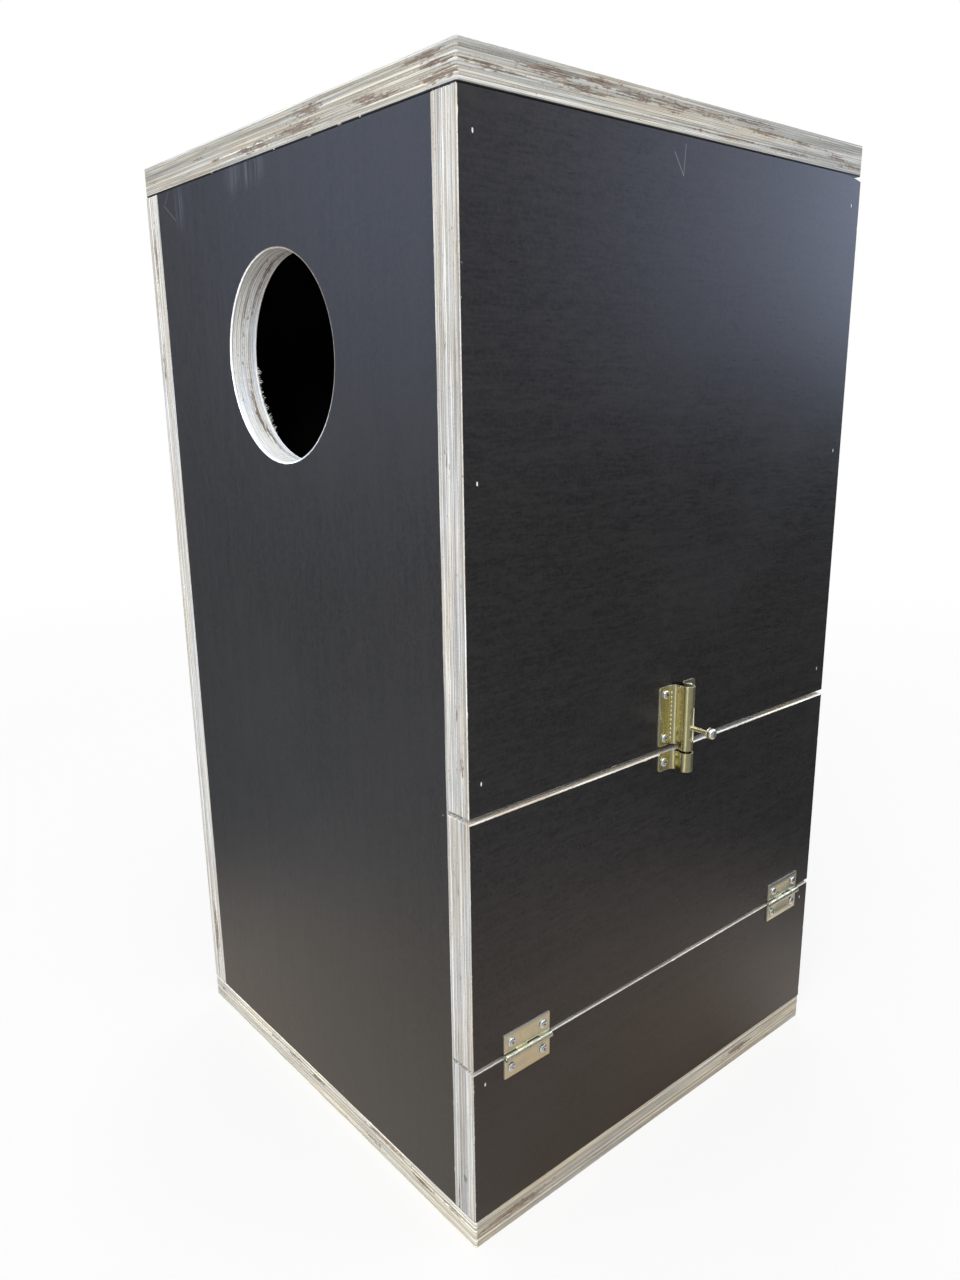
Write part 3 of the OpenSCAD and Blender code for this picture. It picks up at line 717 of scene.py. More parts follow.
class Loop:
    """One closed run of a board's edge: points, outward directions, side and distance along"""

    def __init__(self):
        self.points, self.out, self.side, self.run, self.along = [], [], [], [], []

    def put(self, point, out, side, along):
        last = self.points[-1] if self.points else point
        before = self.run[-1] if self.run else 0.0
        self.points.append(point)
        self.out.append(out)
        self.side.append(side)
        self.run.append(before + math.dist(point, last))
        self.along.append(along)


def round_the_compass(count, way=1):
    """Angles all the way round in equal steps, anticlockwise or (way -1) clockwise"""
    return [way * 2 * math.pi * i / count for i in range(count)]


def rectangle_loop(low, high, radius, step):
    """Anticlockwise round a rectangle with rounded corners"""
    loop = Loop()
    corners = [(low[0], low[1]), (high[0], low[1]), (high[0], high[1]), (low[0], high[1])]
    headings = [(1, 0), (0, 1), (-1, 0), (0, -1)]
    for side in range(4):
        start, end = corners[side], corners[(side + 1) % 4]
        ahead = headings[side]
        out = (ahead[1], -ahead[0])
        length = math.dist(start, end) - 2 * radius
        count = max(2, round(length / step))
        for i in range(count + 1):
            d = radius + length * i / count
            point = (start[0] + ahead[0] * d, start[1] + ahead[1] * d)
            loop.put(point, out, side, point[0] if ahead[0] else point[1])
        centre = (end[0] - ahead[0] * radius - out[0] * radius, end[1] - ahead[1] * radius - out[1] * radius)
        for i in range(1, 5):
            turn = math.pi / 2 * i / 5
            way = (out[0] * math.cos(turn) + ahead[0] * math.sin(turn),
                   out[1] * math.cos(turn) + ahead[1] * math.sin(turn))
            point = (centre[0] + radius * way[0], centre[1] + radius * way[1])
            loop.put(point, way, side, point[0] if ahead[0] else point[1])
    return loop


def round_loop(centre, radius, step):
    """Clockwise round a hole, so that the wood lies on the same hand as inside a rectangle"""
    loop = Loop()
    for turn in round_the_compass(max(10, round(2 * math.pi * radius / step)), way=-1):
        way = (math.cos(turn), math.sin(turn))
        point = (centre[0] + radius * way[0], centre[1] + radius * way[1])
        loop.put(point, (-way[0], -way[1]), HOLE, radius * -turn)
    return loop


def tear_at(node, side, along, rise, seed, plies):
    """How torn the wood is there (0..1), and how deep (m)"""
    share, deep = 0.0, 0.0
    for middle, height, half, tall, depth in TORN.get((node, side), ()):
        a = (along / MM - middle) / half
        b = (rise / MM - height) / tall
        if abs(a) > 1.6 or abs(b) > 1.8:
            continue
        ragged = 1.0 + 1.3 * wave(along * 380, rise * 1300, seed)
        inside = 1.0 - (0.6 * a * a + 0.7 * b * b) * ragged
        if inside > 0:
            share = max(share, min(0.9, 1.3 * inside))
            torn_out = 0.5 + 0.5 * wave(along * 700, rise * 1900, seed + 2)
            deep = max(deep, depth * MM * min(1.0, inside) * torn_out)
    stray = wave(along * 48, math.floor(rise / (BOARD_THICK / plies)) * 5.1, seed + 9)
    if stray > 0.45:
        share = max(share, min(0.6, 1.8 * (stray - 0.45)))
        deep = max(deep, 0.6 * MM * (stray - 0.45))
    return share, deep


class Board:
    """A film-faced board: film on both faces, and a bare edge of veneers with glue lines and torn places.

    normal is the axis through its thickness, and first and second are the axes of its faces."""

    def __init__(self, node, seed, boards):
        self.node, self.seed, self.sizes = node, seed, boards
        low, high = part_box(node)
        self.low, self.high = Vector(low), Vector(high)
        spans = self.high - self.low
        self.normal = min(range(3), key=lambda i: spans[i])
        self.first, self.second = (self.normal + 1) % 3, (self.normal + 2) % 3
        self.thick = spans[self.normal]
        self.mesh = bmesh.new()
        self.uv = self.mesh.loops.layers.uv.new("edge")
        self.layer, self.across, self.pallor, self.cool = (
            self.mesh.faces.layers.float.new(name) for name in ("layer", "across", "pallor", "cool"))
        self.tear = self.mesh.verts.layers.float.new("tear")

    def point(self, flat, rise):
        place = Vector((0, 0, 0))
        place[self.first], place[self.second] = flat
        place[self.normal] = self.low[self.normal] + rise
        return place

    def rows(self):
        """Heights across the edge: (rise, layer below it, part of the ply)"""
        plies = self.sizes.plies
        ply = self.thick / plies
        shoulder = GROOVE_SHOULDER * ply
        heights = [(self.sizes.arris, 0, "lip")]
        for k in range(1, plies):
            glue = k * ply
            heights += [(glue - shoulder, k - 1, "shoulder"), (glue, k, "groove")]
            heights.append((glue + shoulder, k, "shoulder"))
        heights.append((self.thick - self.sizes.arris, plies - 1, "lip"))
        return heights

    def set_back(self, loop, i, rise, layer, part):
        """How far the sawn surface lies inside the board's true edge, and how torn it is"""
        run, side = loop.run[i], loop.side[i]
        ends = (layer + side) % 2
        rough = self.sizes.relief
        back = rough * (0.5 + 0.5 * wave(run * (600 if ends else 90), layer * 3.3, self.seed))
        back += 0.8 * rough * ends
        if part == "groove":
            back += self.sizes.groove * (0.7 + 0.8 * max(0.0, wave(run * 60, layer * 7.7, self.seed + 3)))
        share, deep = tear_at(self.node, side, loop.along[i], rise, self.seed, self.sizes.plies)
        return back + deep, share

    def corner(self, side, face):
        """Width and drop of the broken corner between one film face and one side of the outline"""
        plain = (self.sizes.arris, self.sizes.arris)
        sides, *lip = FILM_LIP_AND_SHADOW_LINE.get((self.node, face), ((), 0.0, 0.0))
        if side in sides:
            return tuple(MM * size for size in lip)
        worn = SANDED.get(self.node, {}).get((side, face))
        return tuple(MM * size for size in worn) if worn else plain

    def tone(self, side, along, face):
        """Finish and painted light of a bit of the edge; face says whose broken corner it is, or is None"""
        shade = PAINTED_EDGE_LIGHT.get((self.node, side), 1.0)
        # Painted light and shade round the entrance's wall, lightest towards HOLE_LIT_AT degrees
        if side == HOLE:
            turn = along / entrance()[1] - math.radians(HOLE_LIT_AT)
            shade = min(HOLE_PAINTED_LIGHT_MOST, HOLE_PAINTED_LIGHT + HOLE_SWING * math.cos(turn))
        if face is None:
            return PLY, shade
        # The dark lip is partly the film's own edge and partly a painted shadow under the roof
        if side in FILM_LIP_AND_SHADOW_LINE.get((self.node, face), ((),))[0]:
            flecked = self.node == "roof_panel" and side == LOW_B
            fleck = flecked and min(abs(along / MM - at) for at in LIP_FLECKS) < 1.4
            return PLY if fleck else FILM, 1.4
        # Sanded corners are painted lighter, a painted highlight
        worn = (side, face) in SANDED.get(self.node, {})
        return PLY, shade * (SANDED_PAINTED_HIGHLIGHT if worn else 1.0)

    def fall(self, point):
        """The point of the outline where the upper edge falls away"""
        if self.node not in FALLS:
            return point
        start, end, most = FALLS[self.node]
        along = min(1.0, max(0.0, (point[0] / MM - start) / (end - start)))
        near = min(1.0, max(0.0, 1.0 - (self.high[self.second] - point[1]) / (6.0 * MM)))
        return (point[0], point[1] - most * MM * along ** 1.4 * near)

    def chip(self, run, side, face):
        """Width of the chipped strip at the film's edge"""
        chipped = wave(run * 130, 4.0 * face, self.seed + 5)
        width = self.corner(side, face)[0] * (1.0 + 0.35 * wave(run * 500, face, self.seed))
        return width + self.sizes.chip * max(0.0, chipped - 0.35)

    def ring(self, loop, rises, backs, tears):
        ring = []
        for i, (point, out) in enumerate(zip(loop.points, loop.out)):
            flat = (point[0] - out[0] * backs[i], point[1] - out[1] * backs[i])
            vert = self.mesh.verts.new(self.point(flat, rises[i]))
            vert[self.tear] = tears[i]
            ring.append(vert)
        return ring

    def wall(self, loop, rings):
        """Faces between neighbouring rings, each with its place along the edge, its layer and its grain"""
        count = len(loop.points)
        close = loop.run[-1] + math.dist(loop.points[-1], loop.points[0])
        ends = {0: 0, len(rings) - 2: 1}
        for k, ((rise_a, layer, ring_a), (rise_b, layer_b, ring_b)) in enumerate(zip(rings, rings[1:])):
            for i in range(count):
                j = (i + 1) % count
                face = self.mesh.faces.new((ring_a[i], ring_a[j], ring_b[j], ring_b[i]))
                # Each face gets its painted light and its painted bluish tint of cool light
                face.material_index, face[self.pallor] = self.tone(loop.side[i], loop.along[i], ends.get(k))
                face[self.cool] = PAINTED_COOL_LIGHT.get((self.node, loop.side[i]), 0.0)
                # The entrance's wall is painted bluer where it is painted lighter, a painted tint of cool
                # light
                if loop.side[i] == HOLE:
                    face[self.cool] += 0.2 * (face[self.pallor] - HOLE_PAINTED_LIGHT)
                face.smooth = True
                face[self.layer] = layer + 31.0 * self.seed
                face[self.across] = float((layer + loop.side[i]) % 2)
                ahead = loop.run[j] if j else close
                corners = [(loop.run[i], rise_a), (ahead, rise_a), (ahead, rise_b), (loop.run[i], rise_b)]
                for corner, uv in zip(face.loops, corners):
                    corner[self.uv].uv = (uv[0] + 2.3 * self.seed, uv[1])

    def edge(self, loop):
        """The bare edge along one loop; returns its two film-side rings"""
        count = len(loop.points)
        calm = [0.0] * count
        films = []
        for face in (0, 1):
            chips = [self.chip(run, side, face) for run, side in zip(loop.run, loop.side)]
            films.append(self.ring(loop, [face * self.thick] * count, chips, calm))
        rings = [(0.0, 0, films[0])]
        for rise, layer, part in self.rows():
            worn = [self.set_back(loop, i, rise, layer, part) for i in range(count)]
            rises = [rise] * count
            if part == "lip":
                face = int(layer > 0)
                drops = [self.corner(side, face)[1] for side in loop.side]
                rises = [self.thick - drop if face else drop for drop in drops]
            ring = self.ring(loop, rises, [w[0] for w in worn], [w[1] for w in worn])
            rings.append((rise, layer, ring))
        rings.append((self.thick, self.sizes.plies - 1, films[1]))
        self.wall(loop, rings)
        return films

    def pit(self, centre, size, face):
        """A ragged slit in the film over a sunk brad"""
        loop = Loop()
        count, deep = 14, 1.5 * MM
        top = self.thick if face else 0.0
        for i, turn in enumerate(round_the_compass(count, way=-1)):
            ragged = 1.0 + 0.16 * wave(i * 1.7, centre[0] * 90, centre[1] * 90)
            reach = [0.5 * size[0] * ragged, 0.5 * size[1] * ragged]
            way = (math.cos(turn), math.sin(turn))
            point = (centre[0] + reach[0] * way[0], centre[1] + reach[1] * way[1])
            loop.put(point, (-way[0], -way[1]), HOLE, 0.0)
        inward = -1 if face else 1
        calm = [0.0] * count
        mouth = self.ring(loop, [top] * count, [0.1 * MM] * count, calm)
        neck = self.ring(loop, [top + inward * 0.16 * MM] * count, calm, calm)
        deepest = self.ring(loop, [top + inward * deep] * count, calm, calm)
        rings = [(0.0, 0, deepest), (deep, 0, neck), (deep + 0.2 * MM, 0, mouth)]
        before = len(self.mesh.faces)
        self.wall(loop, rings if face else [(r, k, ring) for r, k, ring in reversed(rings)])
        self.mesh.faces.ensure_lookup_table()
        for made in self.mesh.faces[before:]:
            made.material_index = FILM
        floor = self.mesh.faces.new(deepest if face else list(reversed(deepest)))
        self.turn_out(floor, face)
        floor.material_index = PLY
        return mouth

    def turn_out(self, flat, face):
        """Turns a flat face to look out of the board"""
        flat.normal_update()
        if (flat.normal[self.normal] > 0) != bool(face):
            flat.normal_flip()

    def film(self, rings, face):
        """Fills one film face between the board's outline and its holes"""
        edges = []
        for ring in rings:
            for i, vert in enumerate(ring):
                other = ring[(i + 1) % len(ring)]
                edges.append(self.mesh.edges.get((vert, other)) or self.mesh.edges.new((vert, other)))
        for item in bmesh.ops.triangle_fill(self.mesh, use_beauty=True, edges=edges)["geom"]:
            if isinstance(item, bmesh.types.BMFace):
                self.turn_out(item, face)
                item.material_index = FILM

    def build(self, radius, joint, holes, pits):
        """Builds the mesh: the corners' radius, the joint left open along each axis, the holes as (centre,
        radius) and the slits over sunk brads as (centre, size, face)"""
        low = (self.low[self.first] + joint[0], self.low[self.second] + joint[1])
        high = (self.high[self.first] - joint[0], self.high[self.second] - joint[1])
        loops = [rectangle_loop(low, high, radius, self.sizes.step)]
        loops[0].points = [self.fall(point) for point in loops[0].points]
        loops += [round_loop(centre, r, self.sizes.step) for centre, r in holes]
        pairs = [self.edge(loop) for loop in loops]
        for face in (0, 1):
            rings = [pair[face] for pair in pairs]
            rings += [self.pit(centre, size, face) for centre, size, where in pits if where == face]
            self.film(rings, face)

    def finish(self, grain, tone):
        finishes = ("Film, grain along " + "XYZ"[grain], "Ply edge, " + tone)
        return add_object(self.node + "_board", mesh_of(self.mesh, self.node, *finishes))


def entrance():
    """Middle and radius of the entrance, from its mount in the record"""
    mount = next(m for m in frame["record"]["mounts"] if m["name"] == "entrance")
    return mount["pos_m"], mount["dims"]["r_mm"] * MM


def brad_pits(board):
    """The slits of the brads whose heads lie in this board's outer face"""
    pits = []
    for node in BRADS:
        for low, high in solids(node):
            middle = (low + high) / 2
            inside = all(board.low[i] < middle[i] < board.high[i] for i in (board.first, board.second))
            for face, plane in ((0, board.low[board.normal]), (1, board.high[board.normal])):
                end = low[board.normal] if face == 0 else high[board.normal]
                if inside and abs(end - plane) < 0.5 * MM:
                    spans = high - low
                    size = (spans[board.first] + BRAD_ROOM, spans[board.second] + BRAD_ROOM)
                    pits.append(((middle[board.first], middle[board.second]), size, face))
    return pits


def make_board(node):
    sizes = bpy.context.scene.nestbox_boards
    body, grain, tone = BOARDS[node]
    board = Board(node, list(BOARDS).index(node) + 1, sizes)
    radius = LID_CORNER if board.normal == Z else WALL_CORNER
    joint = [sizes.joint if axis == Z else 0.0 for axis in (board.first, board.second)]
    holes = []
    if node == "front_panel":
        centre, hole_radius = entrance()
        holes.append(((centre[board.first], centre[board.second]), hole_radius))
    board.build(radius, joint, holes, brad_pits(board))
    place_piece(board.finish(grain, tone), body, [node])


def arc(centre, radius, start, end, count):
    """Points along an arc, angles in degrees"""
    turns = [math.radians(start + (end - start) * i / count) for i in range(count + 1)]
    return [(centre[0] + radius * math.cos(t), centre[1] + radius * math.sin(t)) for t in turns]


def rounded_tab_outline(corners, count=5):
    """A flat outline from (x, y, radius) corners, each rounded by its own radius"""
    points = []
    total = len(corners)
    for i, (x, y, radius) in enumerate(corners):
        here = Vector((x, y))
        before = Vector(corners[i - 1][:2]) - here
        after = Vector(corners[(i + 1) % total][:2]) - here
        if radius <= 0:
            points.append(tuple(here))
            continue
        before.normalize()
        after.normalize()
        half = before.angle(after) / 2
        reach = radius / math.tan(half)
        start, end = here + before * reach, here + after * reach
        for k in range(count + 1):
            t = k / count
            curve = start * (1 - t) ** 2 + here * 2 * t * (1 - t) + end * t ** 2
            points.append(tuple(curve))
    return points


def circle(centre, diameter, count=18):
    """Clockwise outline of a round hole"""
    return [(centre[0] + diameter / 2 * math.cos(turn), centre[1] + diameter / 2 * math.sin(turn))
            for turn in round_the_compass(count, way=-1)]


def slot_outline(x, low, high, width):
    """Clockwise outline of a slot along the second axis with round ends"""
    upper = arc((x, high), width / 2, 0, 180, 8)
    lower = arc((x, low), width / 2, 180, 360, 8)
    return list(reversed(upper + lower))


def runs_of(path, gap=math.dist):
    """Distance from the path's start to each of its points"""
    return list(accumulate((gap(p, q) for p, q in zip(path, path[1:])), initial=0.0))


def bent_sheet(outline, holes, path, thickness, place, finishes):
    """A flat sheet cut to outline and holes, bent along path and given its thickness.

    The sheet's first axis follows path, a run of points in the plane of the bend, and its
    second axis stays straight. place(p, s) puts a point p of that plane and a height s in
    the frame. finishes names the finish of its faces and that of its cut rims."""
    path = [Vector(p) for p in path]
    runs = runs_of(path, lambda p, q: (q - p).length)
    work = bmesh.new()
    edges = []
    for ring in [outline] + holes:
        verts = [work.verts.new((p[0], p[1], 0.0)) for p in ring]
        edges += [work.edges.new((v, verts[(i + 1) % len(verts)])) for i, v in enumerate(verts)]
    bmesh.ops.triangle_fill(work, use_beauty=True, edges=edges)
    for run in runs[1:-1]:
        everything = work.verts[:] + work.edges[:] + work.faces[:]
        bmesh.ops.bisect_plane(work, geom=everything, dist=1e-8, plane_co=(run, 0, 0), plane_no=(1, 0, 0))
    for vert in work.verts:
        run, height = vert.co.x, vert.co.y
        k = max(i for i in range(len(runs) - 1) if runs[i] <= run + 1e-9)
        share = (run - runs[k]) / (runs[k + 1] - runs[k])
        vert.co = place(path[k].lerp(path[k + 1], share), height)
    bmesh.ops.recalc_face_normals(work, faces=work.faces)
    piece = add_object("sheet", mesh_of(work, "sheet", *finishes))
    wall = piece.modifiers.new("Wall", "SOLIDIFY")
    wall.thickness = thickness
    wall.offset = 0.0
    wall.use_even_offset = True
    wall.use_quality_normals = True
    wall.material_offset_rim = 1
    bevel = piece.modifiers.new("Edge", "BEVEL")
    bevel.width = bpy.context.scene.nestbox_hardware.edge
    bevel.segments = 2
    bevel.limit_method = "ANGLE"
    bevel.angle_limit = math.radians(50)
    bevel.use_clamp_overlap = True
    finish_mesh(piece)
    face_outwards(piece.data)
    smooth_by_angle(piece.data, 38)
    return piece


def turned(name, profile, centre, axis, finish, count=40):
    """A turned piece: profile is (distance along the axis, radius) pairs from end to end"""
    work = bmesh.new()
    u = Vector((0, 0, 1)) if axis != Z else Vector((1, 0, 0))
    direction = Vector([1.0 if i == axis else 0.0 for i in range(3)])
    w = direction.cross(u)
    rings = []
    for along, radius in profile:
        middle = Vector(centre) + direction * along
        if radius < 1e-6:
            rings.append([work.verts.new(middle)])
            continue
        rings.append([work.verts.new(middle + radius * (u * math.cos(t) + w * math.sin(t)))
                      for t in round_the_compass(count)])
    for lower, upper in zip(rings, rings[1:]):
        for i in range(count):
            j = (i + 1) % count
            if len(lower) == 1:
                work.faces.new((lower[0], upper[j], upper[i]))
            elif len(upper) == 1:
                work.faces.new((lower[i], lower[j], upper[0]))
            else:
                work.faces.new((lower[i], lower[j], upper[j], upper[i]))
    bmesh.ops.recalc_face_normals(work, faces=work.faces)
    mesh = mesh_of(work, name, finish)
    smooth_by_angle(mesh, 40)
    return add_object(name, mesh)


def screw_holes(node, place_of):
    """Round holes for the screws of a node, each at place_of(its middle) unless that is None"""
    middles = [(low + high) / 2 for low, high in solids(node)]
    places = [place_of(middle) for middle in middles]
    return [circle(place, SCREW_HOLE) for place in places if place]


def leaf_piece(node, name, body, parity, up):
    """One hinge leaf: a flat plate whose tabs roll round the pin. parity is 0 or 1, for the quarter of its
    width that has the first tab, and up is 1 for the leaf above the pin and -1 for the one below"""
    low, high = corners_of(node)
    pin_low, pin_high = corners_of(node.split("_hinge_")[0] + "_hinge_pin")
    pin = (pin_low + pin_high) / 2
    knuckle = high.x - pin.x
    reach = abs((high.z if up > 0 else low.z) - pin.z)
    path = [(low.x + HINGE_SHEET / 2, reach), (low.x + HINGE_SHEET / 2, 0.5 * MM + knuckle)]
    path += arc((pin.x, 0.0), knuckle - HINGE_SHEET / 2, 180, 180 + TAB_ROLL, 30)
    total = runs_of(path)[-1]
    flat_end = reach - knuckle - TAB_GAP
    width = high.y - low.y
    pitch = width / 4
    round_corner, small_corner = 0.6 * MM, 0.3 * MM
    corners = [(0.0, 0.0 if parity else TAB_GAP / 2, round_corner)]
    if parity:
        corners.append((flat_end, 0.0, small_corner))
    for k in (parity, parity + 2):
        start, end = k * pitch + TAB_GAP / 2, (k + 1) * pitch - TAB_GAP / 2
        corners += [(flat_end, start, 0.0), (total, start, 0.0), (total, end, 0.0), (flat_end, end, 0.0)]
    if not parity:
        corners.append((flat_end, width, small_corner))
    corners.append((0.0, width, round_corner))

    def on_leaf(middle):
        return (reach - abs(middle.z - pin.z), middle.y - low.y) if low.y < middle.y < high.y else None

    def place(p, s):
        return Vector((p[0], low.y + s, pin.z + up * p[1]))

    holes = screw_holes("hinge_door_screws" if up > 0 else "hinge_fixed_screws", on_leaf)
    finishes = ("Bright hinge plate", "Cut hinge edge")
    piece = bent_sheet(rounded_tab_outline(corners), holes, path, HINGE_SHEET, place, finishes)
    piece.name = name
    place_piece(piece, body, [node])


def omega_path(axis_h, bore, side):
    """Middle line of a rolled sheet from its plate's left end to its right end, as (height, sideways)"""
    ring = bore + BOLT_SHEET / 2
    neck = NECK_HALF - BOLT_SHEET / 2
    turn = NECK_BEND + BOLT_SHEET / 2
    half = [(BOLT_SHEET / 2, side)]
    half += [(BOLT_SHEET / 2 + turn - turn * math.cos(t), neck + turn - turn * math.sin(t))
             for t in (math.radians(90 * i / BEND_STEPS) for i in range(BEND_STEPS + 1))]
    meet = math.degrees(math.acos(neck / ring))
    half += [(axis_h + p[1], p[0]) for p in arc((0, 0), ring, -meet, 90, 18)]
    left = [(h, -s) for h, s in half]
    return left + list(reversed(half))[1:]


def rolled_piece(node, body, name, plate_low, slot=None):
    """The bolt's barrel or its keeper: plate, bends, neck and barrel from one sheet"""
    low, high = corners_of(node)
    rod_low, rod_high = corners_of("bolt_rod")
    axis = (rod_low + rod_high) / 2
    half = (high.y - low.y) / 2
    path = omega_path(axis.x - low.x, high.x - axis.x - BOLT_SHEET, half)
    runs = runs_of(path)
    total = runs[-1]
    drop, tall = plate_low - low.z, high.z - low.z
    neck_at = runs[BEND_STEPS + 1]
    corners = [(0, 0, PLATE_CORNER), (total, 0, PLATE_CORNER)]
    if drop > 0:
        left = [(0, drop, PLATE_CORNER), (neck_at, drop, 0.4 * MM), (neck_at, 0, 0.3 * MM)]
        corners = left + [(total - run, height, radius) for run, height, radius in reversed(left)]
    corners += [(total, tall, PLATE_CORNER), (0, tall, PLATE_CORNER)]

    def on_plate(middle):
        across = half - abs(middle.y - axis.y)
        return (across if middle.y < axis.y else total - across, middle.z - low.z)

    def place(p, s):
        return Vector((low.x + p[0], axis.y + p[1], low.z + s))

    holes = screw_holes(node + "_screws", on_plate)
    if slot:
        holes.append(slot_outline(total / 2, slot[0] - low.z, slot[1] - low.z, SLOT_WIDTH))
    finishes = ("Yellow bolt plate", "Cut bolt edge")
    piece = bent_sheet(rounded_tab_outline(corners), holes, path, BOLT_SHEET, place, finishes)
    piece.name = name
    place_piece(piece, body, [node])


def geometry_tree(name, sizes):
    """A geometry tree with named inputs; returns the tree, its graph and the group's sockets"""
    tree = bpy.data.node_groups.new(name, "GeometryNodeTree")
    tree.interface.new_socket("Geometry", in_out="INPUT", socket_type="NodeSocketGeometry")
    for label, value in sizes.items():
        kind = "Int" if isinstance(value, int) else "Float"
        socket = tree.interface.new_socket(label, in_out="INPUT", socket_type="NodeSocket" + kind)
        socket.default_value = value
    tree.interface.new_socket("Material", in_out="INPUT", socket_type="NodeSocketMaterial")
    tree.interface.new_socket("Geometry", in_out="OUTPUT", socket_type="NodeSocketGeometry")
    graph = Graph(tree)
    return tree, graph, graph.add("NodeGroupInput").outputs


def end_tree(graph, out, geometry):
    """Realises the instances, sets the material and ends the tree"""
    real = graph.add("GeometryNodeRealizeInstances", {0: geometry}).outputs[0]
    inputs = {"Geometry": real, "Material": out["Material"]}
    graph.add("NodeGroupOutput", {0: graph.add("GeometryNodeSetMaterial", inputs).outputs[0]})


def on_points(graph, out, shape, **settings):
    """The shape as an instance on every point of the piece"""
    inputs = {"Points": out["Geometry"], "Instance": shape, **settings}
    return graph.add("GeometryNodeInstanceOnPoints", inputs).outputs[0]


def moved(graph, shape, **settings):
    return graph.add("GeometryNodeTransform", {"Geometry": shape, **settings}).outputs[0]


def points_piece(name, places, turns=None):
    """A mesh of loose points, each with its turn as an Euler angle"""
    mesh = bpy.data.meshes.new(name)
    mesh.from_pydata([tuple(p) for p in places], [], [])
    turn = mesh.attributes.new("turn", "FLOAT_VECTOR", "POINT")
    for i, value in enumerate(turns or [(0, 0, 0)] * len(places)):
        turn.data[i].vector = value
    return add_object(name, mesh)


def grow(piece, tree, finish, degrees, **sizes):
    """Runs the tree on the piece with its sizes and keeps the plain mesh that it gives"""
    ids = {item.name: item.identifier for item in tree.interface.items_tree if item.in_out == "INPUT"}
    modifier = piece.modifiers.new(tree.name, "NODES")
    modifier.node_group = tree
    modifier[ids["Material"]] = material(finish)
    for label, value in sizes.items():
        modifier[ids[label.replace("_", " ").capitalize()]] = value
    finish_mesh(piece)
    face_outwards(piece.data)
    if degrees:
        smooth_by_angle(piece.data, degrees)
    return piece


def turn_attribute(graph):
    """Each point's turn or lean, as three numbers"""
    inputs = {"Name": "turn"}
    return graph.add("GeometryNodeInputNamedAttribute", inputs, data_type="FLOAT_VECTOR").outputs[0]


def screw_tree():
    """A pan-head screw with a tapered cross recess on every point, its head along the point's own Z"""
    tree, graph, out = geometry_tree("Pan-head screws", {
        "Head diameter": 5.6 * MM, "Head height": 1.7 * MM, "Shank diameter": 2.8 * MM, "Length": 13.0 * MM,
        "Recess span": 3.4 * MM})
    sheet = {"Size X": 1.0, "Size Y": 1.0, "Vertices X": 41, "Vertices Y": 21}
    grid = graph.add("GeometryNodeMeshGrid", sheet).outputs[0]
    place = graph.add("GeometryNodeInputPosition").outputs[0]
    across, along, _ = graph.add("ShaderNodeSeparateXYZ", {0: place}).outputs
    turn = graph.times(graph.plus(across, 0.5), 2 * math.pi)

    # From the underside's middle to the top: the share of the way, and of the underside, the rim and the dome
    share = graph.plus(along, 0.5)
    under = graph.math("MULTIPLY", share, 4.0, clamp=True)
    rim = graph.over(graph.minus(share, 0.25), 0.15, clamp=True)
    dome = graph.over(graph.minus(share, 0.4), 0.6, clamp=True)
    bow = graph.times(dome, math.pi / 2)
    flare = graph.times(graph.math("MULTIPLY", rim, 2.5, clamp=True), 0.14)
    radius = graph.times(out["Head diameter"], 0.5, graph.plus(graph.times(under, 0.86), flare))
    radius = graph.times(radius, graph.math("POWER", graph.math("COSINE", graph.times(bow, 0.9999)), 0.62))
    height = graph.plus(graph.times(rim, 0.28), graph.times(graph.math("SINE", bow), 0.72))
    height = graph.times(height, out["Head height"])
    spot = graph.join(graph.times(radius, graph.math("COSINE", turn)),
                      graph.times(radius, graph.math("SINE", turn)), height)
    head = graph.add("GeometryNodeSetPosition", {"Geometry": grid, "Position": spot}).outputs[0]
    head = graph.add("GeometryNodeMergeByDistance", {"Geometry": head, "Distance": 1e-6}).outputs[0]

    wedge = graph.add("GeometryNodeMeshCone", {
        "Vertices": 4, "Radius Top": graph.times(out["Recess span"], 0.62),
        "Radius Bottom": graph.times(out["Recess span"], 0.22),
        "Depth": graph.times(out["Head height"], 1.1)}).outputs[0]
    lift = graph.join(0.0, 0.0, graph.times(out["Head height"], 0.24))
    cutters = [moved(graph, wedge, Translation=lift, Scale=size)
               for size in ((1.0, 0.34, 1.0), (0.34, 1.0, 1.0))]
    inputs = {"Mesh 1": head, "Mesh 2": cutters}
    cut = graph.add("GeometryNodeMeshBoolean", inputs, operation="DIFFERENCE").outputs[0]
    shank = graph.add("GeometryNodeMeshCone", {
        "Vertices": 16, "Radius Top": graph.times(out["Shank diameter"], 0.5),
        "Radius Bottom": graph.times(out["Shank diameter"], 0.3), "Depth": out["Length"]}).outputs[0]
    shank = moved(graph, shank, Translation=graph.join(0.0, 0.0, graph.times(out["Length"], -1.0)))
    whole = graph.add("GeometryNodeJoinGeometry", {0: [cut, shank]}).outputs[0]
    rotation = graph.add("FunctionNodeEulerToRotation", {0: turn_attribute(graph)}).outputs[0]
    end_tree(graph, out, on_points(graph, out, whole, Rotation=rotation))
    return tree


def screw_group(node, body, facing):
    """All the screws of one node, each with its own turn"""
    hardware = bpy.context.scene.nestbox_hardware
    tree = bpy.data.node_groups.get("Pan-head screws") or screw_tree()
    places, turns = [], []
    to_axis = Matrix.Rotation(math.pi / 2, 3, "Y") if facing == X else Matrix.Rotation(-math.pi / 2, 3, "X")
    for i, (low, high) in enumerate(solids(node)):
        seat = (low + high) / 2
        seat[facing] = high[facing] - hardware.head_height
        length = seat[facing] - low[facing]
        places.append(seat)
        spin = math.radians(25 + 67 * i + 31 * len(node))
        turns.append((to_axis @ Matrix.Rotation(spin, 3, "Z")).to_euler())
    piece = grow(points_piece(node + "_set", places, turns), tree, "Bright zinc", 32,
                 head_diameter=hardware.head, head_height=hardware.head_height,
                 shank_diameter=hardware.shank, length=length, recess_span=hardware.recess)
    place_piece(piece, body, [node])


